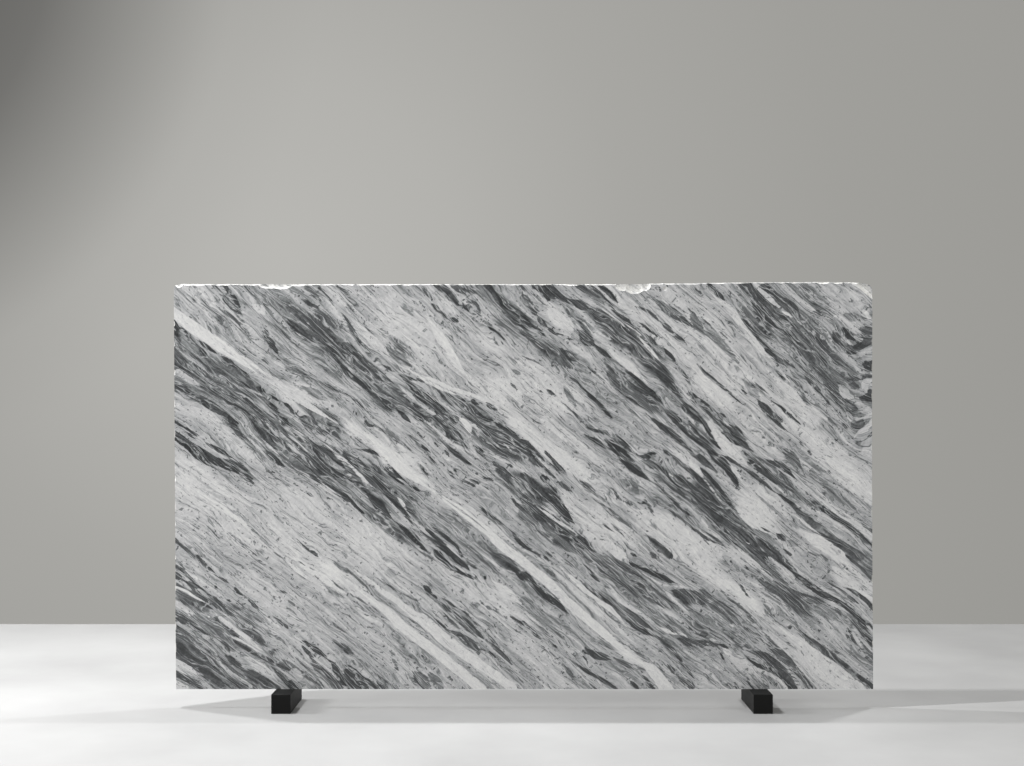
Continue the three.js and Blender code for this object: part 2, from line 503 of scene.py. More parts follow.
88 3 861,366 863,362 868,363 873,365
150 2 861,369 866,366 873,368
90 3 861,371 866,370 873,370
112 7 844,368 848,364 852,369 856,375
165 2 845,372 850,376 856,377
84 3 846,378 853,380 860,379 866,377 873,376
100 6 844,372 841,378
168 5 840,383 844,388 848,392 848,396
110 7 848,384 855,386 860,389
172 7 862,386 867,383 873,382
84 5 867,390 873,393
98 6 858,397 865,399 873,399
98 14 840,396 847,405 856,413
88 7 821,382 828,388 835,395 840,404 846,414
90 7 801,371 809,380 816,388 823,397 829,406 836,415
165 2 800,374 807,382 814,392 821,401 827,409
95 4 781,359 789,363 797,369
165 4 781,364 788,371 793,378
135 3 784,354 796,361 805,366 814,374 822,380
155 4 779,348 786,352
86 4 782,328 787,333 793,339
88 3 800,333 804,339
90 2 805,347 808,352
90 2 797,382 804,390
180 3 799,387 805,393 812,401 820,409
110 5 818,341 826,350 834,360 841,368
165 2 824,337 830,346 835,352
175 3 828,352 832,354
175 4 862,410 868,408 872,414
110 5 862,402 868,404 873,406
142 6 701,320 712,331 724,345 733,356 741,368 750,377
196 5 724,349 738,365 751,379 766,391 782,402 800,418
112 2 701,316 708,323 713,327
120 2 716,326 722,333 728,339
112 3 728,321 730,324
150 3 701,286 708,295 715,303
120 1.5 707,297 713,301
150 3 701,345 712,356 724,370 736,382
145 8 741,378 750,387 756,395 762,403
110 2 742,389 747,394
120 2 752,380 760,387 766,392 771,396
212 15 701,381 713,392 726,403 738,414
92 2.5 702,370 710,378 717,383 725,388 732,395 738,401 743,405
96 6 756,397 761,404 766,411 773,418 778,421
96 2.5 771,400 779,406 786,411 794,419
95 3 719,412 727,418
182 22 747,420 758,435 770,447 778,458
206 15 708,424 716,433 724,442 732,451 740,459 747,465
78 7 714,418 722,426 729,432 736,439 744,443 753,451
82 5 730,425 737,431 743,437 749,443
200 2 710,420 719,429
82 9 741,447 747,455 755,463 763,470 773,478 782,483 791,490 799,495
84 5 799,495 805,499 812,504 822,510 832,516
100 3 751,452 759,458 768,464 777,470 786,476 794,483
160 2 755,459 766,468 778,477 790,484
76 6 765,459 772,462 780,464 786,469 792,475 797,482
125 4 762,436 764,439
100 7 780,445 786,450 793,456 799,464 803,471
145 6 761,422 775,433 789,443 800,452 812,464 821,473 830,482
135 7 810,470 817,479
90 2.5 807,449 811,456
115 2 827,469 831,475
145 9 849,445 857,448 864,446
122 3 848,452 852,457
115 3 831,418 835,425 840,431
118 9 851,423 857,427 865,422
108 2.5 873,432 868,439
120 2 870,447 869,452
185 4 841,428 845,440 850,442
95 6 808,498 822,507 834,516 846,524 859,535 873,549
112 5 860,521 867,527 873,532
166 3 800,503 812,512 823,522 837,532 851,542 865,550
108 2 814,515 818,517
195 2 816,519 820,521
190 6 800,484 810,492 821,501 835,510 846,518 862,529 873,538
112 2 811,491 813,493
142 6 816,483 826,492 835,499 844,507 856,514 873,526
148 4 840,483 849,492 860,500 873,509
190 20 741,484 753,488 765,497 779,508 790,518
208 18 733,497 745,506 759,515 770,525 778,532
145 3 748,484 756,493 763,500 772,508 782,517 791,527 797,535
145 6 784,519 793,524 800,528
108 2.5 781,505 784,507
80 8 719,452 726,465 733,475 738,486 741,492
200 6 730,464 735,470 738,476 742,482
112 2.5 737,469 739,473
122 3 741,476 743,480
88 4 733,461 740,466 750,472 759,479 767,485 775,492 782,497
85 3 747,461 754,468
82 6 705,449 713,456 721,464 728,474
180 1.5 701,448 708,457 716,466 724,474
92 6 701,457 710,467 720,476
166 3 701,463 712,472 724,483 735,492
98 22 701,490 708,502 714,515
95 13 721,527 733,535 745,544 755,553
88 6 777,534 782,537 786,541
95 3 784,549 791,555
132 6 786,541 793,543 800,547
110 2.5 806,551 811,553 817,555
208 13 800,530 812,538 826,545 838,553 849,560
140 3 820,551 824,552
175 5 701,524 710,533 721,543 731,552
202 16 701,544 713,553 724,560
110 2 701,530 715,538 729,548
95 2.5 727,545 731,549
208 17 701,564 713,574 726,586 737,594
196 16 829,572 845,579 862,588 873,594
196 9 836,556 847,566 861,580 873,591
130 30 701,624 718,626 736,631 754,638
162 22 701,662 713,670 724,680 733,690
110 1.5 719,589 728,596
120 1.5 715,559 721,567 729,573
108 2 730,560 733,564
100 2.5 745,567 749,569
122 3 757,568 759,573
110 2.5 762,574 766,576
140 4 736,569 747,573 754,578
185 4 745,556 756,564 770,575 782,582
185 2 778,560 790,573 800,587
78 5.5 775,556 784,563 793,570 801,578 810,586 820,593 830,598 839,602 849,608 858,615
76 7 856,613 861,622 866,633 873,643
162 10 803,561 812,565 820,572
110 3.5 798,559 801,562
120 3 827,563 829,570 828,577
185 4 811,583 821,588 832,593 842,599 851,605
140 6 819,581 828,586 837,591
88 2.5 821,576 828,582 835,586 844,592 852,597
90 4 860,594 867,601 873,609
100 4 848,596 855,602
140 1.2 834,556 843,564 854,577 866,589
92 3 847,556 857,564 866,573 873,580
106 9 753,575 761,581 770,588 779,596 787,605 794,616
95 9 766,578 777,585 786,593 796,598 806,597
175 2 765,587 772,593 782,601 788,610 794,618
185 4 753,585 762,595 770,605 777,614 783,622
130 2.5 758,597 765,605 770,612 771,620
102 15 806,602 817,602 829,606
115 12 829,606 840,612 850,621 856,630 863,642 873,656
166 2 809,610 819,619 828,627 836,635
152 8 803,620 812,624 821,630 829,638
160 3 800,621 807,628 816,635 826,643 838,654
100 2 828,625 835,631
95 3 846,627 852,634 856,640
90 1.2 844,634 850,640 857,645
165 3 846,617 854,627 860,637 866,644 873,652
150 2 862,616 868,624 873,630
95 3 867,620 873,628
140 6 838,640 850,650 862,660 873,668
100 6 792,626 800,632 809,639 819,647 828,654 840,662 851,671 861,679 873,687
198 14 766,624 779,629 791,637 805,647 816,656 830,667 845,678 860,688
188 12 761,630 775,640 786,650 799,662 811,673 823,685
108 2.5 777,623 785,626
94 6 759,627 766,635 775,646 784,655 793,665 801,676 809,686
94 10 745,651 756,653 768,658 777,664 786,673 795,686
185 9 723,648 729,655 736,661 745,668 756,677 766,684
205 6 723,648 731,655
95 3 719,647 723,656 726,663
85 3 712,644 724,646 730,650
95 6 701,645 710,643 718,648
105 2.5 743,670 747,677 752,685
85 3 733,682 738,688
115 12 704,604 716,606 730,610 742,617
110 4 701,590 708,595 715,600
100 3 735,605 744,610 752,618 758,625
190 2 738,610 747,617
190 3 704,616 709,618
190 2.5 718,619 722,620
190 3 729,624 735,627
110 3 714,624 719,627
95 5 702,635 709,634
112 4 730,631 736,634
110 5 744,628 752,631
100 4 756,633 762,641
185 3 708,639 718,641
115 5 744,645 753,648
100 5 733,643 744,651
190 3 712,662 722,672
150 8 724,667 736,677
105 2.5 704,672 710,680
195 24 262,378 300,398 345,425
105 30 174,360 210,380 250,400
172 18 285,348 310,362 325,375
209 10 174,315 195,328 215,342 240,360 256,373
198 7 256,374 285,391 310,406 340,425
90 3 214,285 224,296 236,308 245,318 250,324
82 4 226,286 232,296 238,304 243,312
190 1.2 222,286 230,297 238,308
95 1.5 193,296 198,300 204,305 212,311 222,318 228,325 231,331
98 2.5 205,304 215,305 220,309 228,313 236,320 240,325 247,333 254,343 262,356
105 1.5 240,342 250,352 262,360
115 1.5 222,300 234,312 246,326 256,340
86 5 262,330 268,338 274,346 279,352
85 1.5 262,345 270,353 277,359 284,366
76 3 282,362 288,368 296,369 305,374 314,376
80 1.2 292,366 302,369 310,373 316,377
74 2 316,377 325,383 335,389 345,394 352,399
90 7 305,299 315,307 325,316 335,324 340,332
94 8 288,303 300,313 312,323 322,335 335,346 345,352
82 5 283,316 295,325 305,334 318,344
70 7 320,343 330,349 338,358 345,366 352,374
76 3 338,362 345,371 352,380
108 3 268,318 280,330 290,340 302,350
120 2 262,300 270,306 280,312
180 1.5 300,315 310,325 320,334
186 1.5 285,322 300,335 312,345
172 1 304,303 316,312 328,322
195 4 330,288 340,298 350,310
190 3 318,291 328,301 336,312 345,328
74 3.5 199,340 208,347 217,353
71 4 221,355 230,361 238,369
70 3 240,368 246,374 250,379
124 9 212,362 225,368 238,376 248,382
78 3 196,345 205,353 210,361
75 3 211,365 220,371 230,377
68 5 236,380 246,386 252,389
66 5 256,387 262,390 266,393
72 2 268,393 276,399 283,401
62 5 174,322 175,324 177,328
62 4 174,332 176,334
70 3 183,328 187,334 191,338
140 8 181,337 186,346 196,354
165 2 174,345 185,355 200,366 215,377
168 6 178,372 188,379 200,386
200 1.5 222,391 224,391 226,391
82 6 174,384 188,391 198,396
80 4 222,392 232,396 240,400
82 5 240,395 250,403 258,411 264,420
76 5 268,402 275,409 281,418
84 3 283,403 292,410 300,418
152 2 262,400 270,410 276,420
165 2 240,385 255,392 270,399
160 2 200,398 215,405 230,415
90 3 200,372 212,381 225,389
88 3 205,385 218,395 232,405 245,415
200 30 174,470 205,490 240,512
66 9 174,434 190,446 205,455 222,465 238,474
72 4 185,448 198,458 212,466 223,472
178 1.2 190,443 196,450 200,455
178 1.2 208,455 214,461 221,469
170 1 222,465 228,467 233,470
70 4.5 207,444 217,449 226,454 232,460
74 3.5 232,460 240,467 248,473
80 2.5 240,468 248,477 254,485
84 1.6 236,466 245,476 252,483
80 2.5 174,421 184,427 195,433 201,437
85 2 186,430 193,437 200,439
92 4 230,420 235,427 240,434 246,439
100 2 222,418 228,424 233,430
76 6 258,418 264,428 270,436 279,446 288,452
80 5 247,416 258,428 268,440 280,453
76 4 268,418 275,427 280,435
74 6 281,415 286,422 289,427
74 5 300,418 308,428 315,436
86 9 308,424 318,430 330,434
78 4 324,422 332,426 341,429
84 5 307,437 315,445 325,450 333,457 345,468 352,475
86 4 282,448 295,456 305,464 318,476 330,486 345,494 352,498
80 5 262,450 272,457 283,465
82 4 305,455 320,466 335,475 352,485
200 1.5 290,425 300,433 312,440
195 1.8 296,441 306,450 314,456
205 2 310,470 318,478 326,486 338,494 345,498
190 1.5 330,450 340,458 350,465
190 1.5 262,440 270,448 280,456
180 3 283,440 295,450 305,458
186 2 285,460 298,470 310,476 318,482
190 1.5 275,425 285,437 300,450
168 2.5 262,416 272,430 285,443
178 2 240,420 252,434 265,447
170 2 174,463 190,472 205,484 222,495 240,504 258,514
172 5 195,485 215,495 235,505 255,520 275,535
212 3 200,476 220,487 240,499 260,512
210 4 205,500 222,510 240,520 252,532 268,548
120 2 246,524 255,532 262,537
115 2 237,541 246,548 254,553
105 1.5 296,538 303,545 312,551 318,555
95 2 181,543 188,550 194,555
120 1.2 183,521 192,525 200,529
90 2 307,492 310,494 314,497
95 2 293,482 296,484 300,487
105 2 265,468 268,470 272,473
108 2 278,475 280,476 283,478
84 3 174,539 176,540 178,542
150 1.5 283,500 285,506 288,512
140 1.5 320,497 325,502 331,508
130 1.2 201,513 212,518 222,527 230,534
203 24 484,376 505,390 522,402
168 14 464,348 474,360 482,370
130 14 495,316 508,328 522,340
95 22 372,384 395,396 420,410
88 13 484,284 496,298 510,312 524,324
125 13 432,388 450,398 470,408
92 14 458,404 470,411 484,419
213 7 428,316 442,338 452,356 462,375
105 1.5 340,288 346,291 351,298 354,302
108 1.2 346,303 354,312 360,319
98 2 360,319 366,326 372,333 377,338
80 3 340,311 347,320 354,330
94 4 345,322 352,330 358,338 361,343
110 1.5 363,346 368,353 372,358
122 8 389,347 397,355 405,362 413,368
112 3.5 392,343 400,348 408,353 415,357
182 1 396,349 408,356 416,361
70 5 431,303 435,306 440,311
72 4 442,313 446,317 450,320
70 5 451,317 455,320 459,322
108 2 415,285 421,290 426,294 432,301
94 2.5 428,293 431,297 433,301
88 9 438,284 446,291 454,299 460,307
104 8 454,284 461,290 467,297
74 6 465,285 470,289 473,297
82 5 462,302 467,308 471,313
100 8 466,298 474,305 482,317
176 1 458,287 463,296 470,306 476,315
78 4 484,320 490,325 494,330
92 3 494,330 500,336 507,341
72 5 496,296 502,304 510,312
152 1 486,290 495,300 503,308
155 1 496,289 503,300 510,307
108 2 494,339 497,343 500,347
118 3 510,382 514,386 518,391
142 5 512,370 517,372 522,375
150 4 510,358 514,361 517,366
165 3 490,363 496,364 500,366
94 9 341,346 350,353 360,363 372,372 384,380 395,388
68 5 340,364 348,372 357,380 366,389 374,398 380,403
72 4 378,398 386,402 392,406
84 3 340,356 350,364 362,376 374,386
176 4 396,384 405,390 413,398 420,405
162 3 420,403 427,409 434,416
166 8 340,377 352,386 364,397
80 3 340,391 350,396 358,402 364,409 368,418
72 3.5 383,405 388,408 393,412
84 11 402,377 415,389 427,399 440,409 454,419
192 1.5 414,384 425,392 436,400 447,408 457,416
72 3 398,373 405,378 414,380
66 4 419,379 422,380 425,383
70 3 426,382 432,387 438,390
74 2.5 443,391 449,395 456,398
70 3.5 458,398 464,400 470,402
70 4 471,401 475,403 479,405
66 4 486,402 489,405 492,408
66 3 494,406 496,409 498,412
190 2 440,398 447,405 452,411 458,416
206 3 398,370 406,374 415,373 421,377 430,383 442,389 455,394 470,398
66 5 412,413 418,418 426,422
74 5 396,409 404,416 412,423
200 34 345,530 375,545 400,560
165 24 398,420 430,445 455,475
140 24 425,505 450,525 480,550
205 13 344,424 354,430 362,436
108 13 352,492 372,512 396,531 420,552
152 14 386,480 404,491 424,500
218 11 366,434 380,446 391,457 402,468 415,478 431,490
218 7 431,489 445,500 460,510 475,522 490,534 500,545 514,557
128 1.2 440,496 455,506 470,517 485,529 497,541
200 9 381,431 392,442 402,454 414,465 424,474
80 3 364,413 366,422 371,426 378,425
78 3 378,427 386,431 394,437 402,443 409,448
102 1.2 385,428 395,434 404,441
88 1.5 408,447 411,450 414,453
85 1.8 415,461 422,466 427,472 430,479
150 1.2 385,432 393,441 400,452
80 2.5 416,430 421,436 425,440
78 3 420,443 425,448 431,453
84 2 425,452 433,461 440,467
80 2.5 433,441 436,444 439,448
74 3.5 445,450 447,453 450,456
80 2.5 436,458 442,463 447,470
84 1.8 447,470 455,474 460,478
82 2.5 453,468 455,470 457,473
75 2.5 470,479 476,482 480,484
74 2.5 471,485 474,486 477,487
80 2 459,478 463,480 466,482
86 1.5 455,484 462,488 468,491
82 2.5 482,476 484,477 487,479
75 2.5 489,478 491,479 494,481
82 2 484,486 487,488 490,490
64 4 480,507 486,511 493,518 504,525
110 1.5 505,526 512,532 518,542 524,547
95 1.5 510,496 515,504 524,512
84 11 436,420 450,431 460,441 468,449
82 5 442,441 452,450 462,458 473,466
192 2.5 405,410 428,423 440,433 452,443 464,452 474,460
206 5 462,419 468,428 472,436
196 3 471,436 470,443 475,452 480,458
190 4 473,423 475,426 478,430
92 8 482,425 492,434 505,445 522,457
76 6 474,444 480,451 486,458
80 6 500,424 510,432 522,441
186 3 487,448 495,455 505,462
190 2 500,440 508,447 515,455
82 5 492,466 502,473 512,478
80 4 484,462 487,465 490,468
78 3 505,463 509,465 514,468
76 8 340,444 352,455 364,464
206 2.5 340,456 348,463 356,471 365,479 372,486
176 1.5 372,487 382,495 390,503 398,512 410,521
72 7 350,472 358,481 366,491
64 9 364,490 374,500 384,511 395,521
66 6 396,520 404,529 412,538 422,547
72 5 372,482 384,492 396,503 404,512 412,522 424,534
72 5 360,462 372,474 384,484 396,494 403,501
206 3.5 395,494 401,501 405,507 409,514
70 7 405,499 410,507 417,516
152 1.5 410,498 416,504 419,512
80 2.5 362,452 370,450 378,455 383,460
76 2 381,460 386,468 391,474
68 2.5 384,457 390,466 396,473 407,482
80 3 388,475 398,481 408,486
64 4 408,484 415,488 423,492
122 4 424,490 426,493 429,497
190 2 404,514 415,523 428,533 440,542 454,552
182 1.5 425,520 436,530 450,541
186 1.5 446,524 458,533 470,542
195 1 398,515 408,528 416,541 424,555
74 3.5 418,520 430,532 442,543 454,555
78 3 430,524 442,534 455,545
84 2 472,534 475,535 478,537
88 2.5 448,538 456,546 463,557
74 3.5 340,489 347,495 353,503 360,510 367,514
62 3 357,507 362,512 366,514
84 4 340,470 350,479 360,488
152 3 340,440 350,446 358,452
90 2.5 357,439 359,441 361,443
92 1.8 364,445 365,446 367,446
98 20 596,306 615,322 640,346 660,370 682,402
100 18 606,364 625,386 650,410
186 18 625,300 650,325 675,350 697,372
192 30 520,372 545,392 580,414
104 14 530,338 550,352 574,362
76 2 520,285 525,290 530,296
80 8 535,285 541,288 548,293
86 4 544,293 548,298 549,303
100 8 524,298 532,308 538,318
64 5 513,311 522,318 529,324 534,328
74 3 534,328 541,333 548,337
84 6 536,316 542,322 547,328
82 4 547,326 552,331 557,335
82 1.5 556,334 560,334 564,335
92 5 515,326 524,333 534,340 542,346
90 8 558,347 568,355 580,362
100 5 541,343 550,350 560,357
203 11 547,305 555,317 564,330
200 8 562,312 569,324 574,334
176 1.2 528,336 540,346 552,354
108 2 520,355 532,360 545,366
94 2 565,374 575,380 583,388 590,396
80 2.5 583,389 590,397 597,402 604,410 613,419
136 6 562,382 568,393 573,402 578,411
72 3 539,389 541,391 544,393
104 5 546,389 550,392 555,395
92 2 549,383 551,385 553,387
78 2.5 594,372 596,374 598,376
92 1.8 585,363 590,369 596,375
90 3 606,371 608,374 611,379
100 6 549,285 560,296 572,305
96 8 568,299 580,305 592,312
88 8 592,309 602,317 614,327 624,335
84 9 577,329 586,337 597,347
102 4 575,317 585,328 595,338
188 1.5 582,320 590,330 597,338
195 1.5 588,322 598,332 608,338 617,341
190 1.8 568,301 580,311 592,322
200 2 594,307 602,309 612,316 622,324 632,332
196 1.5 605,305 616,315 628,325 640,334 650,345
82 5 599,284 607,291 614,298 619,304
95 4 588,286 596,292 603,299
78 5 611,309 620,316 628,322 637,331
84 3 634,320 642,324 648,329 656,335 661,341
82 4 643,332 652,340 659,347
74 4 662,346 667,352 673,358 678,366
85 2.5 676,364 684,374 692,384
84 10 648,358 662,374 672,386 684,400
206 3 636,334 646,345 655,355 666,367
206 7 608,350 620,360 630,367 640,376 650,386
64 5 616,362 626,370 636,379 646,388 656,396 667,408
60 6 645,386 653,394 662,403
64 4 667,408 674,414 681,421
70 6 678,403 690,412 700,420
182 2 664,396 674,405 684,414
68 5 688,391 693,396 699,401
76 3 689,398 693,402 699,407
86 2 685,378 688,381 692,385
108 6 661,321 668,328 674,334
84 3 675,333 681,338 687,344
92 2 684,352 686,354 688,356
94 9 648,294 658,302 670,311 682,319 696,329
166 7 656,288 666,296 676,303
78 2 672,303 680,308 688,314
190 1 680,308 690,318 697,325
94 3 636,305 645,310 652,314
90 4 645,308 655,317 661,323
208 15 515,420 545,446 570,464 590,481 610,498
196 26 575,500 605,522 635,545
202 22 652,508 675,530 700,550
165 15 560,424 585,444 615,462 640,480
82 15 516,474 535,489 552,505
120 18 650,464 670,480 692,502
138 15 515,514 540,530 570,546
82 11 513,437 522,446 531,457
84 6 532,452 537,460 541,468
80 3 532,447 535,450 538,453
86 3.5 544,450 547,453 550,457
92 4 541,465 550,472 558,480
90 3 548,462 556,468 562,476
78 4 556,461 562,469 567,477
196 2 532,450 540,460 548,468 556,477
190 1.5 538,470 545,474 555,480
186 1.5 513,468 525,472 535,478 545,477
80 7 540,476 545,479 550,483
96 5 556,480 564,486 573,493
64 8 526,485 536,493 545,502
68 6 548,485 555,493 560,502 566,512 572,521 578,528
84 7 515,502 527,509 540,517 552,524
66 9 550,523 562,532 575,540 588,548 598,553
76 3 575,530 585,538 595,548
206 3.5 531,503 542,510 552,517 562,524 572,530 581,537
190 1 572,528 582,535 592,543
95 1.5 513,502 528,515 545,527
110 2 530,523 540,527 550,533
76 3 513,537 523,545 533,552
82 2.5 582,424 590,429 600,432 610,436
74 5 600,432 612,436 620,441 628,448 635,456
62 9 605,440 614,447 622,453 631,461
66 4.5 584,434 590,438 597,441 606,447 615,453
62 6 617,456 626,464 634,470 643,476 651,482
198 1.5 586,427 596,436 606,445 614,453
190 1 602,437 612,442 622,447 630,455
68 4 639,457 648,455 655,453 661,452
72 4 662,448 667,453 673,457
108 4 672,455 680,462 687,467
88 2 687,465 690,468
70 4 659,467 665,471 670,476
90 3 648,468 652,468 657,468
212 3 669,473 671,475 673,477
78 3 668,477 675,484 682,493 688,500
72 3 683,484 690,491 699,499
88 4 678,474 682,477 686,479
76 2.5 652,480 662,489 671,498 680,508 690,515 699,521
82 2.5 658,484 668,490 677,497
84 4 690,498 699,506
196 1.5 655,480 664,488 674,497 684,508
132 12 618,479 630,487 641,497
64 3 637,502 641,503 645,501 645,498
100 4 646,501 650,507 655,517
86 2.5 612,486 616,493 621,500
120 2 605,484 608,486 612,489
104 4 627,502 630,504 634,505
106 5 580,480 588,486 598,493
108 2.5 598,495 604,500 611,505
86 2 607,502 609,504 611,506
106 4 592,498 602,505 612,514 624,522 634,530 641,536
84 1.5 584,508 590,514 597,520
95 2 600,520 607,527 615,533
98 2 609,522 618,530 626,538
120 2 587,462 592,469 598,474
86 7 646,534 655,543 662,549 670,556
96 1.5 644,532 647,531 651,531
88 8 646,413 660,425 672,434 684,444 697,457
68 3 671,415 680,425 688,434 699,445
84 3 686,416 691,424 699,433
182 1.5 679,413 688,424 695,433
176 2 640,418 652,428 665,438 678,448
198 4 668,446 684,458 699,470
170 22 818,288 838,300 860,312
198 14 775,386 794,402 814,420
200 7 706,290 718,299 730,309 740,322 750,334 759,345 766,358
168 9 760,354 774,368 786,382
80 2.3 702,369 713,378 720,385 728,391 734,397 740,402 745,406
76 8 692,394 700,402 709,410 719,420
72 6 690,412 694,416 699,421
203 8 704,384 720,397 736,411
84 4 732,305 739,312 745,321 752,330 759,338 765,345
60 5 763,344 766,348 769,352 772,357
74 2.5 771,350 774,355 777,361
84 2.5 765,354 772,364 779,373 786,381 793,387 800,396
90 3 800,394 806,401 813,408
126 6 740,304 748,311 755,319 757,327
185 1.2 750,302 754,310 758,320
178 1.2 741,312 748,320 756,328
88 8 748,284 755,291 761,300 766,308
78 11 751,301 758,310 765,319 774,326 780,329
88 9 770,309 779,315 789,322 800,329
188 5 755,284 764,293 774,302 783,310
208 3 780,310 787,314 794,318
184 2 795,319 800,323 804,327
94 4 762,286 771,293 780,299
96 8 781,296 792,306 801,316
178 3.5 783,286 792,294 801,300 811,308 820,314
206 2 809,311 812,311 814,310
95 6 810,313 815,318 820,328
180 1.5 816,320 821,329 824,336
178 2 823,324 829,335 835,348
84 8 833,329 837,338 842,346
70 8 841,326 848,334 856,341
172 2.5 842,334 847,341 854,345
76 6 840,347 848,352 855,351 862,345 869,339
166 2.5 840,350 846,357 853,363 859,368
168 2.5 854,326 860,323 868,325
84 6 858,328 865,329 873,331
80 5 854,334 862,336 873,339
192 3 832,318 838,315 844,319 851,324 857,329 862,334
168 5 856,359 862,354 873,349
92 3 862,346 868,343 873,340
74 2.5 860,366 866,364 873,361
72 2.5 860,370 866,368 873,366
76 2.5 861,376 867,373 873,371
84 3 845,371 853,377 860,379
128 6 847,367 852,371 858,375
180 6 862,381 865,387 868,393
178 6 838,383 841,390 846,396 854,397 860,394
72 7 862,398 867,397 873,395
90 9 841,402 850,407 859,410
186 5 847,411 849,415 851,419
186 4 860,411 865,412 870,414
88 5 758,399 766,406 772,413 780,421
84 2 770,400 780,407 787,413 796,421
110 2 748,381 754,386 761,391
95 2 741,388 744,392 748,396
128 5 700,330 711,336 722,346 734,358 745,371
120 8 690,314 694,319 700,327
92 2 697,310 704,319 713,327
96 3 709,285 716,291 722,297 729,304
100 1.8 722,333 725,336 729,340
105 2 692,289 696,292 700,296
96 2 728,320 730,322 732,325
176 1.5 777,345 786,352 795,358 803,366
175 3 780,362 787,370 794,377
90 6 801,370 808,377 815,385 823,393
178 1.2 802,376 810,385 818,394 826,403 835,413
84 3 783,330 788,334 794,339
86 4 826,385 832,392 839,399
92 1.8 696,362 698,365 700,367
92 30 695,488 715,510 738,532 762,556
202 26 740,490 755,504 766,518 778,531
198 24 790,415 815,440 842,468 872,495
200 16 690,530 703,541 716,554
66 4.5 703,420 708,430 713,439 719,447 726,454
200 2 709,421 715,426 721,430
206 11 711,432 720,441 730,450 739,458 749,467
84 5 716,421 727,426 737,430 749,442
72 6 720,431 730,438 740,444 754,452
190 1.5 724,424 728,425 731,427
74 4 722,455 731,460 741,467
68 6 721,461 727,468 733,475 737,485 741,492
74 6 707,448 714,455 721,462
86 6 690,454 704,462 719,473
66 4.5 702,469 710,478 718,487 725,497 732,506 739,514 747,521
84 4 746,520 752,525 759,529
206 6 690,463 697,469 703,477
190 1.8 702,476 710,486 718,497 726,507
192 4.5 729,463 734,470 741,479
72 11 711,506 717,515 722,526
64 5 764,459 774,464 783,467 789,472 795,479 799,483
116 8 777,445 786,452 793,460 799,468 805,473
78 4 748,453 760,466 772,474 783,484 795,492 803,496
120 4 760,459 772,466 783,477 795,487
190 2 760,471 769,480 781,490 793,499
100 9 781,497 793,506 802,514 813,523 824,532 836,542 848,549 860,557
72 3 780,494 786,499 793,504 801,511
202 2.5 789,508 799,518 810,527 823,536
206 12 800,531 812,538 824,545 840,556
66 2.5 757,526 764,529 772,533
66 4 776,534 780,537 785,541
210 6 731,499 741,513 752,524 772,535
84 3.5 764,414 774,421 783,428 790,434
92 1.8 791,417 798,422 805,428
84 3 799,440 801,443 804,447
84 2.5 807,449 810,453 813,458
212 6 818,451 836,466 853,480 873,498
132 8 812,471 827,485 839,497 853,507 863,515
92 4 802,492 818,504 836,517 853,528 873,548
188 2.5 807,501 821,514 842,527 866,544
196 4 835,510 847,516 861,525
112 8 853,427 860,424 866,418
192 5 854,438 860,432 867,428 873,421
88 3 841,422 845,426 849,431
92 3.5 843,434 848,437 854,439
80 2.5 834,439 836,440 839,440
118 4 828,416 831,421 834,425
92 3 867,439 870,436 873,433
105 2 828,469 830,471 832,474
100 1.5 690,528 702,536 716,554
190 1.5 702,520 713,531 726,542
88 2.5 690,524 707,538 726,547
84 6 736,530 746,541 756,554
88 5 753,534 765,543 780,555
202 2 745,542 748,543 751,544
76 3 782,548 786,551 790,555
112 5 768,440 771,444 775,447
212 8 284,553 300,562 318,574 334,586 350,596
214 14 316,558 330,571 350,586
118 1.8 326,575 338,586 350,594
84 1.6 190,550 198,557 204,565 208,569 216,574
66 2.2 215,574 219,577 223,579 227,581 230,584
80 1.8 232,587 235,588 238,591 243,595
66 2 244,596 247,597 250,599 253,602 257,607 261,612
118 5 188,551 192,555 196,560
96 2 176,560 180,563 184,569 189,575
84 2.5 176,567 181,570 187,575 194,582 202,590 212,598
76 7 176,575 179,577 182,578
80 5 184,580 191,584 196,589 200,593
90 6 204,590 212,597 220,605 229,613 240,620
104 1.5 218,600 229,607 238,613 250,618
180 1.5 220,603 230,610 240,616 250,620
110 3 176,584 184,588 193,594 203,600 214,606
212 2.5 176,587 186,591 195,597 203,601 211,605
124 4 176,593 186,597 196,602 206,607
92 2.5 200,601 207,606 215,610
104 4 180,600 186,602 193,604
84 3 192,603 194,605 197,607
182 6 176,603 186,609 196,615
100 3 196,607 201,610 205,612
208 3 208,616 209,617 211,618
122 9 193,615 203,620 214,626 224,632
200 1.5 187,611 189,615 191,619
84 4 176,613 182,617 188,622
62 4 176,619 182,621 188,624 196,629 203,632 211,635 218,638
78 2 213,617 217,621 221,625
200 4 222,622 232,628 242,634 252,642 264,652
194 3 214,612 224,620 236,627
86 2.2 222,625 230,631 238,636 244,640
196 2.5 218,628 230,636 243,642 256,650 267,656
92 5 222,608 233,618 244,629 254,636 264,645 276,654
78 2.5 272,648 275,651 278,655
84 4 234,641 243,646 252,652 262,656 271,660 280,667
98 8 176,630 190,637 204,646
88 7 190,646 202,654 214,664 228,676
58 9 176,648 180,651 185,655
62 7 185,655 194,663 203,671 213,678 224,686
84 5 219,640 226,646 232,654
176 2.5 190,634 202,641 212,649 218,658 224,667 238,677 252,686
186 9 176,663 184,668 192,672 199,677
74 5 176,673 185,677 193,682 201,688
182 7 176,684 181,687 186,690
168 4 198,679 206,685 212,689
188 9 244,656 256,664 267,671 277,680
168 7 230,651 237,657 243,663
66 5 229,655 234,661 238,666
88 5 240,665 250,671 261,677 271,683 279,689
84 4 270,665 280,673 289,681 297,689
112 6 276,659 288,664 300,669
104 3 292,655 302,663 312,672 320,682 324,690
62 5 301,639 307,643 313,648 320,653 328,659
76 3 300,641 304,648 310,656 317,664 323,671
186 2 306,645 309,648 312,650
178 2 308,651 315,659 321,668
84 5 322,664 328,674 335,682 341,690
70 7 328,660 334,664 337,671 343,677 350,682
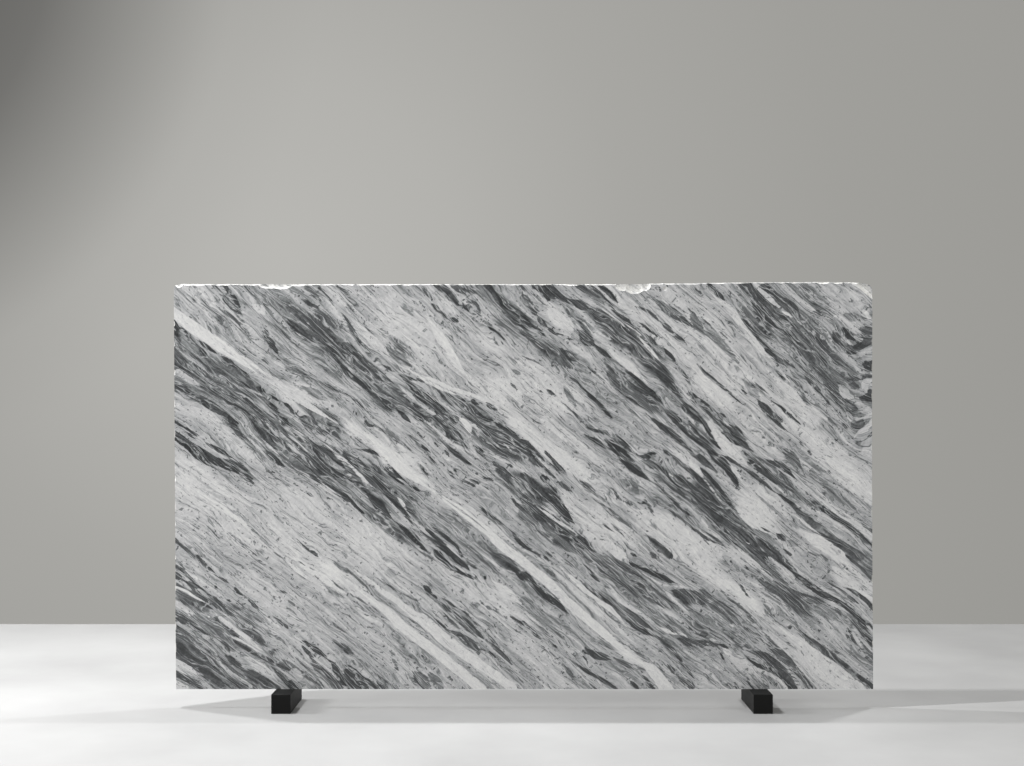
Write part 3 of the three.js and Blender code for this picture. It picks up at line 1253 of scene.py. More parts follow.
54 9 341,674 346,679 352,684
104 1.8 327,635 335,642 343,648 350,654
84 2 341,645 345,650 348,655
84 2 313,574 317,577 321,581
128 4 320,580 328,588 336,594 350,600
72 2 303,591 305,593 307,595
90 1.5 296,561 301,563 306,566
104 1.5 308,566 312,569 316,571
92 2.5 308,549 313,552 318,557
122 3 331,559 339,567 350,573
112 2 249,550 255,554 260,559
120 2 270,550 282,557 292,563
84 3 214,585 216,587 218,589
88 2 206,585 207,587 208,588
86 2 218,591 219,593 220,594
80 3 226,599 229,601 232,602
92 1.5 226,567 228,568 229,569
122 3 193,563 194,566 195,568
122 4 253,612 256,616 259,620
124 5 245,608 247,610 248,612
84 2 289,625 291,626 293,628
120 3 276,590 282,592 289,593
128 4 287,600 291,603 296,607
126 2.5 284,606 292,611 299,618
150 22 340,606 360,620 382,636
158 16 486,662 504,674 522,684
204 10 492,580 506,592 522,604
212 10 340,575 355,586 370,598 387,611 402,626 421,641 440,655 457,669 474,683 482,690
210 9 396,603 412,616 430,629 446,642 462,653 480,665 498,677 513,688
204 5 350,566 362,576 376,587 390,598 405,608
146 6 340,563 352,573 366,585 378,596 392,606 408,620
122 2 346,568 359,580 370,590 376,597
132 2 340,588 352,595 364,602 375,609 385,617
112 12 488,552 502,560 522,572
130 9 466,551 478,558 490,567 502,577
192 2 478,551 489,559 500,568 516,578
208 6 505,549 514,556 523,562
96 2 468,564 475,568 481,571
56 7 434,549 437,553 441,557
62 3.5 440,556 447,562 453,567 461,571 470,576 479,580
58 6.5 446,551 455,558 463,564 472,572
190 2.2 452,561 458,567 465,572 471,575
66 2.5 473,573 476,577 480,581
76 2.5 483,576 485,578 486,580
82 1.8 482,582 484,584 486,585
92 2.5 415,549 421,552 429,557 439,562
192 1.3 431,552 438,560 449,567
84 2 505,562 510,566 515,570
62 3.5 510,566 515,570 519,575 523,579
88 2.5 340,642 346,646 351,650 355,654
116 4 352,659 358,664 364,668
84 8 348,672 351,675 354,678
56 12 341,675 348,681 356,688
62 2.5 344,665 348,666 353,668
66 2.5 355,668 358,675 363,682 366,689
70 3 361,675 370,681 378,689
80 2.5 376,681 381,686 385,690
100 2 381,677 390,684 398,690
118 3 391,655 395,662 399,669
96 2.5 393,667 397,669 400,671
128 3 388,650 392,652 396,656
150 9 396,648 404,651 412,654
92 2 421,655 423,656 424,657
120 4 424,659 428,661 431,663
104 10 414,673 420,679 427,686
118 8 428,673 434,680 440,688
170 2.5 429,677 431,683 433,689
62 5.5 423,585 428,589 431,594
66 4 431,594 435,597 438,601
92 1.5 421,588 426,592 431,597
84 5 441,602 446,608 452,613
98 9 452,610 460,618 468,626 476,633 486,640
80 4 466,619 473,626 480,634 486,640
76 2.2 440,597 447,601 454,606 461,610
76 2.5 463,610 468,615 472,620
90 2 472,620 477,624 482,627
112 2.5 478,628 488,635 494,641 500,649 506,657
84 3 491,639 494,641 496,644
118 4 446,616 454,624 462,632
72 2 432,616 438,622 444,627 450,632
84 3.5 449,629 456,633 463,636 470,641
86 8 466,638 472,644 478,650
70 2.5 476,651 479,654 481,652
92 2 452,632 462,641 472,651
78 2.5 444,613 447,616 448,618
88 1.8 432,610 434,611 436,612
88 2 480,647 483,651 485,653
80 2.5 486,650 492,654 498,658 505,663
92 3 487,642 498,650 507,658 512,665 517,671
186 1.3 468,618 476,627 485,636
92 1.8 378,575 386,582 392,587 399,591
112 1.8 400,592 410,597 420,603
92 2 412,599 416,600 420,601
118 2.5 360,562 362,565 363,567
126 4 342,550 344,553 346,555
158 9 388,570 391,573 394,576
132 4 402,568 404,570 405,572
124 1.5 406,639 412,642 417,645
72 2.5 506,613 512,617 517,621 523,624
84 2.5 505,615 507,618 508,621
120 1.5 514,621 518,625 523,629
84 1.8 493,606 497,610 500,613
104 2 472,597 474,598 475,599
88 2 481,602 482,603 483,604
92 2 473,603 474,604 475,605
118 3 486,606 488,608 490,609
96 20 590,554 612,570 636,590
106 14 640,580 658,596 680,610
214 9 515,555 532,569 550,584 567,601 585,617 604,633 621,648 638,661 661,672
212 7 560,566 578,583 596,597 615,613 628,628
212 8 655,668 662,679 670,689
66 4.5 515,570 522,576 531,583 538,591 545,598 552,604 558,609
70 4.5 547,594 555,601 562,608 569,614
84 2 541,584 545,588 547,592
72 3.5 571,571 580,580 591,590 602,598 614,606 622,615 628,622
104 8 618,602 631,613 644,623 655,632
54 7 625,619 632,624 640,629 647,633 655,637
78 3 655,637 662,643 670,649 677,655 683,664 688,672 694,679
84 5 667,663 675,671 684,679 693,687
68 4 620,562 632,565 644,569 656,574 666,580 679,584
196 1.6 636,568 652,579 664,585 678,586 690,587 697,589
88 13 675,592 687,598 697,603
200 2 663,588 672,597 681,606 690,613
192 2.5 656,604 672,615 686,625
200 4 655,625 667,631 682,634 689,639
84 4.5 668,626 673,630 678,633
82 4 675,636 686,643 697,648
188 4 601,577 612,588 620,600 636,611 649,619 660,628
176 1.5 589,558 596,566 601,574
84 3 581,561 589,570 595,579 602,586
112 4 628,640 635,649 643,657 649,661
86 5.5 584,648 592,652 601,655 611,657
110 4 611,657 622,662 634,670
76 2.5 582,649 585,652 587,655
78 2.5 582,655 585,658 588,662
80 3 562,655 569,659 576,664 586,671 598,677 608,683 617,689
106 4.5 560,663 566,668 572,675 576,682
84 2 515,620 522,622 529,628
68 3.5 531,631 536,635 542,640
72 2 552,644 555,646 558,649
134 8 522,601 534,611 546,621 562,635
200 3 521,606 531,618 545,629
84 3 640,671 645,677 649,683 654,689
84 2.5 587,680 592,685 597,690
84 3 629,680 634,685 638,690
200 22 800,648 822,670 846,690
196 12 832,566 846,578 862,592
210 14 724,574 742,594 756,608 768,620
128 13 700,598 718,608 738,618
104 14 785,594 800,606 812,618
132 12 810,604 826,612 842,622
92 10 690,592 695,596 700,600
112 8 756,560 772,572 790,586
98 6 750,574 762,579 777,585 790,591 804,595 818,598
72 7 754,550 764,556 774,564
188 2.5 769,557 782,569 794,583 801,591
66 5 776,550 789,562 800,575 812,586 826,595 842,604 853,612 862,622 866,633 872,642
178 2.5 783,550 792,562 802,575 814,584
84 3 734,580 743,588 746,594 752,599
118 3 761,601 769,609 773,620
110 2.5 719,590 731,600 743,608 755,619
82 10 756,652 770,662 782,674 792,684
54 7 743,654 752,662 763,669 776,676 787,685 795,690
192 1.8 765,647 777,658 788,669 798,686
92 6 762,640 775,652 789,664 801,675 810,688
196 3.5 727,651 741,657 755,668 767,673 779,680 787,689
70 3 718,643 724,646 728,648
80 2.5 720,650 722,656 725,662
86 4 690,639 700,642 718,645
140 4 704,622 716,630 730,638
92 4 742,625 752,633 764,641
180 4 764,626 776,638 790,651 802,663
88 4 793,625 802,632 814,641 828,651 842,664 858,677 872,687
84 3 800,633 810,643 819,651
80 2.5 822,576 830,583 841,590 851,598
80 4 842,586 856,593 872,606
88 4 848,596 854,600 859,604
120 14 858,550 866,560 874,568
104 2 842,550 858,564 872,579
112 3 822,556 828,562 829,572
84 2.5 843,632 853,640 862,650
88 3 848,630 852,635 855,640
184 3 846,620 856,638 868,655
176 2.5 810,610 824,622 837,636 853,652
88 2 729,560 731,562 733,564
84 2 746,568 748,569 750,570
112 2.5 757,570 758,572 760,573
104 3 762,574 764,576 767,577
76 3 734,680 736,685 739,690
112 2.5 744,670 745,674 748,679
96 2 746,680 750,685 755,690
100 16 628,384 650,400 668,418
108 18 684,424 700,438 716,452
96 20 492,468 514,482 536,498 548,510
196 13 562,490 568,504 576,518
172 16 578,396 594,410 608,424
165 14 552,350 566,364 578,380
92 16 396,488 410,502 420,518
100 16 298,402 318,414 338,430 350,444
140 13 300,350 326,370 352,388
190 13 296,382 314,393 332,403
112 14 420,414 436,430 450,446
190 14 720,544 738,556 756,568
196 13 662,540 676,552 690,564
108 13 584,584 602,598 620,612 634,624
110 13 574,544 588,558 600,570
180 16 584,474 606,490 626,506
172 18 338,612 360,626 384,640
196 13 342,580 360,594 378,606
180 13 688,284 702,292 716,304
92 13 752,316 764,330 776,342
110 13 778,370 792,384 806,398
100 13 776,478 792,492 806,504
158 14 180,300 200,322 222,344
112 13 240,372 254,388 268,402
120 14 240,436 258,448 274,462
84 13 176,648 190,660 206,672
78 13 222,672 236,684 250,690
112 13 228,604 242,614 256,626
140 13 388,336 402,348 416,360
205 13 612,640 630,656 648,668
200 13 468,374 482,388 496,400
126 18 794,285 812,299 832,314
176 13 846,290 856,302 866,312
238 3.5 853,283 860,287 867,292 873,298
208 3 862,307 866,313 869,319
"""

# The beds were placed in twelve parts of the slab, side by side. One that runs on into the
# next part keeps its width at the join.
PART_JOINS_ACROSS = (347, 524, 701)
PART_JOINS_DOWN = (420, 556)
JOIN_REACH = 2

# The drawing's grids start here, in squares, and go past the slab on every side.
GRID_LEFT, GRID_TOP, GRID_RIGHT, GRID_BOTTOM = 168, 278, 882, 698
TONE_CELL = 0.5
FLOW_CELL = 4.0

# Beds at least this wide are broad zones, whose edges are soft for this share of the width to
# either side. Where no zone lies, the stone has the bare grey.
BROAD_BED = 13
ZONE_SOFTNESS = 0.25
BARE_GREY = 160 / 255

# A bed that ends outside these columns and rows runs on past the slab's edge. One that ends
# inside tapers over this share of its length, down to this share of its width.
INSIDE_ACROSS = (178, 870)
INSIDE_DOWN = (288, 686)
TAPER = 0.45
TIP = 0.12

# A bed's pull on the directions round it fades beyond the root of this, in squares.
FLOW_REACH_SQUARED = 60.0

# The beds run down to the right at this angle, taken over the whole slab.
BEDDING = math.radians(37)

# How finely the two faces are cut up to carry the beds: across them and along them.
FRONT_PITCH = (4.6 * MM, 17 * MM)
BACK_PITCH = (9.5 * MM, 34 * MM)

# Narrow beds are felt this far off, in squares, and nothing lies deeper outside than FAR_OUT.
# A bed's grey always covers the one before it this near to the bed.
NARROW_REACH = 4.0
FAR_OUT = 6.0
GREY_REACH = 0.7

# Narrow beds darker than this go on the dark grid, and the rest on the pale one.
SPLIT_GREY = 140 / 255
DARK_GREY = 88 / 255
PALE_GREY = 190 / 255

# Where the slab's parts lie on its bake map: where a strip starts, and how high it is.
FRONT_STRIP = (0.462, 0.536)
BACK_STRIP = (0.076, 0.380)
TOP_STRIP = (0.057, 0.014)
FOOT_STRIP = (0.039, 0.014)
LEFT_STRIP = (0.021, 0.014)
RIGHT_STRIP = (0.003, 0.014)
MAP_MARGIN = 0.002

# The slab's own finishes, and the least area of a sawn stretch of its narrow sides.
POLISHED, SAWN, BROKEN = range(3)
SAWN_STRIP_AREA = 400 * MM * MM

# A face is square to a direction where its unit normal goes further along it than the first
# number, and runs with a direction where its normal goes less far along it than the second.
SQUARE_ON = 0.9999
RUNS_WITH = 0.0001

# Points this near to each other are one, points this near to a cut are on it, and a face this
# near to a plane lies in it.
SAME_PLACE = 0.01 * MM
IN_CUT = 0.001 * MM
IN_PLANE = 0.1 * MM

SLAB_LOW, SLAB_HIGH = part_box("slab")
SLAB_FOOT, SLAB_FRONT, SLAB_BACK = SLAB_LOW.z, SLAB_LOW.y, SLAB_HIGH.y

# The backdrop's colour holds a painted pool of light, and painted shade in its left corner.
# Each has its middle, and its greys or shares at angles from there, in half turns.
POOL_MIDDLE = (-0.17, 1, 0.13)
POOL_GREYS = (
    (0.0, 0xB9B8B4), (0.04, 0xB3B2AE), (0.08, 0xA8A7A3), (0.13, 0xA09F9B), (0.2, 0x9A9995))
SHADE_MIDDLE = (-0.60, 1, 0.40)
SHADE_SHARES = ((0.03, 0.30), (0.062, 0.42), (0.10, 0.95), (0.12, 1.0))

# The floor ends in sight at FLOOR_FAR, under the backdrop. A tongue behind the slab runs on.
FLOOR_NEAR, FLOOR_FAR, FLOOR_HALF = -14.0, 2.39, 9.0
TONGUE_FAR, TONGUE_HALF = 7.5, 1.9

# The lamps: a name, its place, what it points at and its two sizes, all in metres, the setting
# that holds its power, and its share of that power.
LAMPS = (
    ("key", (-5.0, -4.6, 3.4), (0, 0, 0.8), (2.4, 2.4), "key", 1.0),
    ("fill", (5.0, -4.8, 3.2), (0, 0, 0.8), (2.4, 2.4), "fill", 1.0),
    ("strip behind, left", (-2.9, 0.72, 6.4), (0, 0.05, 0), (0.06, 0.5), "overhead", 0.75),
    ("strip behind, right", (3.0, 1.63, 12), (3.0, 0, 0), (0.5, 0.12), "overhead", 1.45),
    ("strip in front", (-2.9, -1.0, 6.4), (0, -0.05, 0), (0.06, 0.5), "overhead", 1.2),
    ("side", (-5.2, -0.03, 2.7), (0, -0.03, 0.2), (0.15, 1.2), "side", 1.0))

# The camera's place, its lens and film in millimetres, and how far its view is moved up, in
# picture widths.
CAMERA_PLACE = (-0.0484, -5.663, 1.175)
CAMERA_LENS, CAMERA_FILM = 47, 36
CAMERA_RISE = 0.045

# The colours of the stone and of its bruised crystals: a share, and the sRGB colour there.
STONE_COLOURS = (
    (0.20, 0x232526), (0.30, 0x3E4042), (0.40, 0x606264), (0.52, 0x858889), (0.64, 0xAAABAD),
    (0.76, 0xCBCBCC), (0.84, 0xDDDDDC), (0.95, 0xEDECEA))
BRUISED_COLOURS = ((0.30, 0xC4C3BE), (0.55, 0xE4E3DF), (0.75, 0xF6F5F2))
STONE_DUST = 0xB4B3AE
TIMBER_DUST = 0x1A1B19


# ------------------------------------------------------------------ reading the drawing

def read_beds():
    """The grey, width and points of every bed, the broad ones first."""
    beds = []
    for line in BEDS.splitlines():
        words = line.split()
        if words:
            points = np.array([[float(n) for n in word.split(",")] for word in words[2:]])
            beds.append((float(words[0]) / 255, float(words[1]), points))
    return sorted(beds, key=lambda bed: bed[1] < BROAD_BED)


def smoothed(points, step=2.0):
    """A Catmull-Rom curve through the points, with a point every step squares."""
    ends = np.vstack([2 * points[0] - points[1], points, 2 * points[-1] - points[-2]])
    curve = []
    for before, start, end, after in zip(ends, ends[1:], ends[2:], ends[3:]):
        count = max(1, round(float(np.linalg.norm(end - start)) / step))
        t = (np.arange(count) / count)[:, None]
        curve.append(start + 0.5 * t * (
            end - before
            + t * (2 * before - 5 * start + 4 * end - after)
            + t * t * (3 * start - before - 3 * end + after)))
    return np.vstack([*curve, points[-1:]])


def runs_on(point):
    """Whether a bed that ends at a point goes on past the edge of its part."""
    x, y = point
    left, right = INSIDE_ACROSS
    top, bottom = INSIDE_DOWN
    inside = left < x < right and top < y < bottom
    at_join = any(abs(x - join) < JOIN_REACH for join in PART_JOINS_ACROSS) or any(
        abs(y - join) < JOIN_REACH for join in PART_JOINS_DOWN)
    return at_join or not inside


def eased(value):
    """A soft step from 0 to 1."""
    value = np.clip(value, 0, 1)
    return value * value * (3 - 2 * value)


def bed_depth(bed, reach, shape):
    """The part of the tone grid within reach of a bed, and how deep in the bed it lies there.

    The depth is in squares, positive inside the bed and negative outside it."""
    _, width, points = bed
    curve = smoothed(points)
    share = np.linspace(0, 1, len(curve))
    ease_in = 1 if runs_on(points[0]) else eased(share / TAPER)
    ease_out = 1 if runs_on(points[-1]) else eased((1 - share) / TAPER)
    full = np.minimum(ease_in, ease_out) * np.ones(len(curve))
    half = width / 2 * (TIP + (1 - TIP) * full)

    origin = np.array([GRID_LEFT, GRID_TOP])
    reach = width / 2 + reach
    limit = np.array(shape[::-1])
    low = np.clip(((curve.min(0) - reach - origin) / TONE_CELL).astype(int), 0, limit)
    high = np.clip(((curve.max(0) + reach - origin) / TONE_CELL).astype(int) + 2, 0, limit)
    depth = np.full((high[1] - low[1], high[0] - low[0]), -FAR_OUT)
    for start, end, near, far in zip(curve, curve[1:], half, half[1:]):
        a = ((np.minimum(start, end) - reach - origin) / TONE_CELL).astype(int)
        b = ((np.maximum(start, end) + reach - origin) / TONE_CELL).astype(int) + 2
        a, b = np.clip(a, low, high), np.clip(b, low, high)
        x = (np.arange(a[0], b[0]) * TONE_CELL + GRID_LEFT)[None, :]
        y = (np.arange(a[1], b[1]) * TONE_CELL + GRID_TOP)[:, None]
        run = end - start
        t = ((x - start[0]) * run[0] + (y - start[1]) * run[1]) / (run @ run)
        t = np.clip(t, 0, 1)
        gap = np.hypot(x - start[0] - t * run[0], y - start[1] - t * run[1])
        window = depth[a[1] - low[1]:b[1] - low[1], a[0] - low[0]:b[0] - low[0]]
        np.maximum(window, near + (far - near) * t - gap, out=window)
    return (slice(low[1], high[1]), slice(low[0], high[0])), depth


def tone_grids(beds):
    """The drawing as grids: the broad zones' grey, and the depth and grey of narrow beds.

    The narrow beds lie on two grids, a dark and a pale one, and a bed cuts away what was drawn
    before it on the other grid. A depth stays sharp between the points of a mesh, where a
    grey would blur."""
    shape = (
        int((GRID_BOTTOM - GRID_TOP) / TONE_CELL) + 1,
        int((GRID_RIGHT - GRID_LEFT) / TONE_CELL) + 1)
    zone = np.full(shape, BARE_GREY)
    depths = {kind: np.full(shape, -FAR_OUT) for kind in ("dark", "pale")}
    greys = {"dark": np.full(shape, DARK_GREY), "pale": np.full(shape, PALE_GREY)}
    for bed in beds:
        grey, width, _ = bed
        if width >= BROAD_BED:
            soft = ZONE_SOFTNESS * width
            window, depth = bed_depth(bed, soft, shape)
            zone[window] += (grey - zone[window]) * eased((depth + soft) / (2 * soft))
            continue
        kind, other = ("dark", "pale") if grey < SPLIT_GREY else ("pale", "dark")
        window, depth = bed_depth(bed, NARROW_REACH, shape)
        ours = (depth > -GREY_REACH) | (depth > depths[kind][window])
        greys[kind][window][ours] = grey
        np.maximum(depths[kind][window], depth, out=depths[kind][window])
        np.minimum(depths[other][window], -depth, out=depths[other][window])
    return {
        "zone": zone, "dark_depth": depths["dark"], "dark_grey": greys["dark"],
        "pale_depth": depths["pale"], "pale_grey": greys["pale"]}


def flow_grids(beds):
    """How far along the beds and across them every cell of the flow grid lies, in squares."""
    starts = np.vstack([points[:-1] for _, _, points in beds])
    ends = np.vstack([points[1:] for _, _, points in beds])
    middles, runs = (starts + ends) / 2, ends - starts
    lengths = np.hypot(runs[:, 0], runs[:, 1])
    doubled = 2 * np.arctan2(runs[:, 1], runs[:, 0])
    x = np.arange(GRID_LEFT, GRID_RIGHT + 1, FLOW_CELL)
    y = np.arange(GRID_TOP, GRID_BOTTOM + 1, FLOW_CELL)
    slope = np.zeros((len(y), len(x)))
    for row, height in enumerate(y):
        gap = (x[:, None] - middles[:, 0]) ** 2 + (height - middles[:, 1]) ** 2
        weight = lengths / (gap + FLOW_REACH_SQUARED) ** 1.5
        slope[row] = np.arctan2(weight @ np.sin(doubled), weight @ np.cos(doubled)) / 2
    along = height_from_slopes(np.cos(slope), np.sin(slope))
    across = height_from_slopes(-np.sin(slope), np.cos(slope))
    return along, across


def height_from_slopes(slope_x, slope_y):
    """The surface whose slopes come nearest to the given ones, on the flow grid."""
    mean_x, mean_y = slope_x.mean(), slope_y.mean()
    rows, columns = slope_x.shape
    sideways = np.hstack([slope_x - mean_x, (mean_x - slope_x)[:, ::-1]])
    sideways = np.vstack([sideways, sideways[::-1]])
    downwards = np.hstack([slope_y - mean_y, (slope_y - mean_y)[:, ::-1]])
    downwards = np.vstack([downwards, -downwards[::-1]])
    wave_x = 2j * np.pi * np.fft.fftfreq(2 * columns, FLOW_CELL)[None, :]
    wave_y = 2j * np.pi * np.fft.fftfreq(2 * rows, FLOW_CELL)[:, None]
    size = -(wave_x ** 2 + wave_y ** 2)
    size[0, 0] = 1
    waves = -(wave_x * np.fft.fft2(sideways) + wave_y * np.fft.fft2(downwards)) / size
    waves[0, 0] = 0
    surface = np.fft.ifft2(waves).real[:rows, :columns]
    x = np.arange(columns)[None, :] * FLOW_CELL
    y = np.arange(rows)[:, None] * FLOW_CELL
    return surface + mean_x * x + mean_y * y


def looked_up(grid, cell, x, y):
    """The values of a grid at places on the drawing, between its cells."""
    column = np.clip((x - GRID_LEFT) / cell, 0, grid.shape[1] - 1.001)
    row = np.clip((y - GRID_TOP) / cell, 0, grid.shape[0] - 1.001)
    i, j = row.astype(int), column.astype(int)
    down, right = row - i, column - j
    top = grid[i, j] * (1 - right) + grid[i, j + 1] * right
    bottom = grid[i + 1, j] * (1 - right) + grid[i + 1, j + 1] * right
    return top * (1 - down) + bottom * down


# ------------------------------------------------------------------ meshes

def cut_up(bm, faces, direction, pitch):
    """Cuts flat faces by planes square to a direction, a pitch apart, and gives the pieces."""
    levels = [vert.co.dot(direction) for face in faces for vert in face.verts]
    rest, done = list(faces), []
    for step in range(1, math.ceil((max(levels) - min(levels)) / pitch)):
        level = min(levels) + step * pitch
        edges = {edge for face in rest for edge in face.edges}
        verts = {vert for face in rest for vert in face.verts}
        cut = bmesh.ops.bisect_plane(
            bm, geom=[*rest, *edges, *verts], dist=IN_CUT,
            plane_co=direction * level, plane_no=direction)
        rest = []
        for face in cut["geom"]:
            if isinstance(face, bmesh.types.BMFace):
                beyond = face.calc_center_median().dot(direction) > level
                (rest if beyond else done).append(face)
    return done + rest


def drawing_places(coordinates):
    """The columns and rows of the drawing that lie under places on the slab."""
    x = DRAWING_MIDDLE + coordinates[:, 0] / SQUARE
    y = DRAWING_FOOT - (coordinates[:, 2] - SLAB_FOOT) / SQUARE
    return x, y


def store(mesh, name, values, domain="POINT"):
    """Keeps one number a vertex or face on a mesh, for the material to read."""
    layer = mesh.attributes.new(name, "FLOAT", domain)
    layer.data.foreach_set("value", np.asarray(values, np.float32))


def lay_beds(mesh):
    """Puts the drawing's greys and its ways along and across the beds on the slab's mesh."""
    beds = read_beds()
    along, across = flow_grids(beds)
    coordinates = np.zeros(len(mesh.vertices) * 3)
    mesh.vertices.foreach_get("co", coordinates)
    x, y = drawing_places(coordinates.reshape(-1, 3))
    store(mesh, "along", looked_up(along, FLOW_CELL, x, y) * SQUARE)
    store(mesh, "across", looked_up(across, FLOW_CELL, x, y) * SQUARE)
    for name, grid in tone_grids(beds).items():
        store(mesh, name, looked_up(grid, TONE_CELL, x, y))


def lay_bake_map(bm):
    """A UV map with the polished face over the back, and the narrow sides in strips below."""
    layer = bm.loops.layers.uv.new("OFBake")
    low, high = CAD_BOX
    for face in bm.faces:
        normal = face.normal
        for loop in face.loops:
            x = (loop.vert.co.x - low.x) / (high.x - low.x)
            z = (loop.vert.co.z - SLAB_FOOT) / (high.z - SLAB_FOOT)
            y = (loop.vert.co.y - SLAB_FRONT) / (SLAB_BACK - SLAB_FRONT)
            if abs(normal.y) > 0.5:
                start, size = FRONT_STRIP if normal.y < 0 else BACK_STRIP
                across, up = x, start + size * z
            elif abs(normal.z) > abs(normal.x):
                start, size = TOP_STRIP if normal.z > 0 else FOOT_STRIP
                across, up = x, start + size * y
            else:
                start, size = RIGHT_STRIP if normal.x > 0 else LEFT_STRIP
                across, up = z, start + size * y
            loop[layer].uv = (MAP_MARGIN + (1 - 2 * MAP_MARGIN) * across, up)


def finish_of(face):
    """How a face of the slab was left: polished, sawn or broken."""
    normal = face.normal
    centre = face.calc_center_median()
    if normal.y < -SQUARE_ON and abs(centre.y - SLAB_FRONT) < IN_PLANE:
        return POLISHED
    if normal.y > SQUARE_ON and abs(centre.y - SLAB_BACK) < IN_PLANE:
        return SAWN
    if abs(normal.y) < RUNS_WITH and face.calc_area() > SAWN_STRIP_AREA:
        return SAWN
    return BROKEN


def slab_mesh(source):
    """The slab's mesh: the solid's own faces, cut up finely enough to carry the beds."""
    bm = bmesh.new()
    bm.from_mesh(source.data)
    bmesh.ops.remove_doubles(bm, verts=bm.verts, dist=SAME_PLACE)
    bmesh.ops.dissolve_limit(
        bm, angle_limit=math.radians(0.2), verts=bm.verts, edges=bm.edges)
    finishes = bm.faces.layers.int.new("finish")
    bm.normal_update()
    for face in bm.faces:
        face[finishes] = finish_of(face)
    along = Vector((math.cos(BEDDING), 0, -math.sin(BEDDING)))
    across = Vector((math.sin(BEDDING), 0, math.cos(BEDDING)))
    for facing, (width, length) in ((-1, FRONT_PITCH), (1, BACK_PITCH)):
        flat = [face for face in bm.faces if face.normal.y * facing > SQUARE_ON]
        strips = cut_up(bm, flat, across, width)
        cut_up(bm, strips, along, length)
    lay_bake_map(bm)
    mesh = bpy.data.meshes.new("slab of marble")
    bm.to_mesh(mesh)
    bm.free()
    kinds = np.zeros(len(mesh.polygons), np.int32)
    mesh.attributes["finish"].data.foreach_get("value", kinds)
    mesh.attributes.remove(mesh.attributes["finish"])
    store(mesh, "sawn", kinds == SAWN, "FACE")
    store(mesh, "broken", kinds == BROKEN, "FACE")
    lay_beds(mesh)
    return mesh


def bearer_mesh(node, settings):
    """A sawn block with eased arrises, as long and as thick as its solid."""
    low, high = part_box(node)
    bm = bmesh.new()
    bmesh.ops.create_cube(bm, size=1)
    bmesh.ops.scale(bm, vec=high - low, verts=bm.verts)
    bmesh.ops.translate(bm, vec=(low + high) / 2, verts=bm.verts)
    bmesh.ops.bevel(
        bm, geom=list(bm.edges), offset=settings.arris, offset_type="OFFSET",
        affect="EDGES", segments=3, profile=0.5, material=-1)
    mesh = bpy.data.meshes.new("bearer block")
    bm.to_mesh(mesh)
    bm.free()
    return mesh


# ------------------------------------------------------------------ materials

def to_linear(colour):
    """The linear colour of an sRGB hex value."""
    parts = [(colour >> shift & 255) / 255 for shift in (16, 8, 0)]
    return [c / 12.92 if c <= 0.04045 else ((c + 0.055) / 1.055) ** 2.4 for c in parts] + [1]


def add(tree, kind, *values, give=0, stops=(), **settings):
    """Adds a node, sets it up, fills its open inputs in order, and gives one of its outputs.

    A value is a number, a vector, another node's output, or None to leave an input as it is.
    The stops of a colour ramp are (place, sRGB hex or a plain grey share)."""
    node = tree.nodes.new("ShaderNode" + kind)
    for name, setting in settings.items():
        setattr(node, name, setting)
    for socket, value in zip([socket for socket in node.inputs if socket.enabled], values):
        if isinstance(value, bpy.types.NodeSocket):
            tree.links.new(value, socket)
        elif value is not None:
            socket.default_value = value
    for index, (place, colour) in enumerate(stops):
        elements = node.color_ramp.elements
        element = elements[index] if index < 2 else elements.new(place)
        element.position = place
        element.color = to_linear(colour) if isinstance(colour, int) else [colour] * 3 + [1]
    return [socket for socket in node.outputs if socket.enabled][give]


def stretched(tree, place, length, width, seed, detail=3.0, roughness=0.55, wander=0.0):
    """Noise from 0 to 1 whose grains are as long and as wide as given, in metres, on the beds."""
    scaled = add(
        tree, "Mapping", place, (seed, seed * 1.7, seed * 0.3), None,
        (1 / length, 1 / width, 1 / width))
    return add(tree, "TexNoise", scaled, 1.0, detail, roughness, None, wander)


def cut(tree, grain, level, edge):
    """A noise cut at a level: 0 below it and 1 above, with an edge as wide as given."""
    over = add(tree, "Math", grain, level, operation="SUBTRACT")
    return add(tree, "Math", over, 1 / edge, 0.5, operation="MULTIPLY_ADD", use_clamp=True)


def thin_lines(tree, grain, thinness):
    """Lines where a noise crosses its middle: 1 on the line and 0 away from it."""
    off = add(tree, "Math", grain, 0.5, operation="SUBTRACT")
    off = add(tree, "Math", off, operation="ABSOLUTE")
    return add(tree, "Math", off, -thinness, 1.0, operation="MULTIPLY_ADD", use_clamp=True)


def shaken(tree, value, grain, reach):
    """A number with a noise added that swings it by up to half the reach either way."""
    swing = add(tree, "Math", grain, 0.5, operation="SUBTRACT")
    return add(tree, "Math", swing, reach, value, operation="MULTIPLY_ADD")


def bed_places(tree, read):
    """Places on the beds, in metres along, across and through them, with a gentle waviness."""
    depth = add(tree, "SeparateXYZ", add(tree, "TexCoord", give=3), give=1)
    through = add(tree, "Math", depth, 0.3, operation="MULTIPLY")
    place = add(tree, "CombineXYZ", read["along"], read["across"], through)
    waves = stretched(tree, place, length=0.30, width=0.085, seed=91.3, detail=2.0)
    ripples = stretched(tree, place, length=0.08, width=0.026, seed=97.9, detail=2.0)
    across = shaken(tree, read["across"], waves, reach=0.09)
    across = shaken(tree, across, ripples, reach=0.013)
    return add(tree, "CombineXYZ", read["along"], across, through)


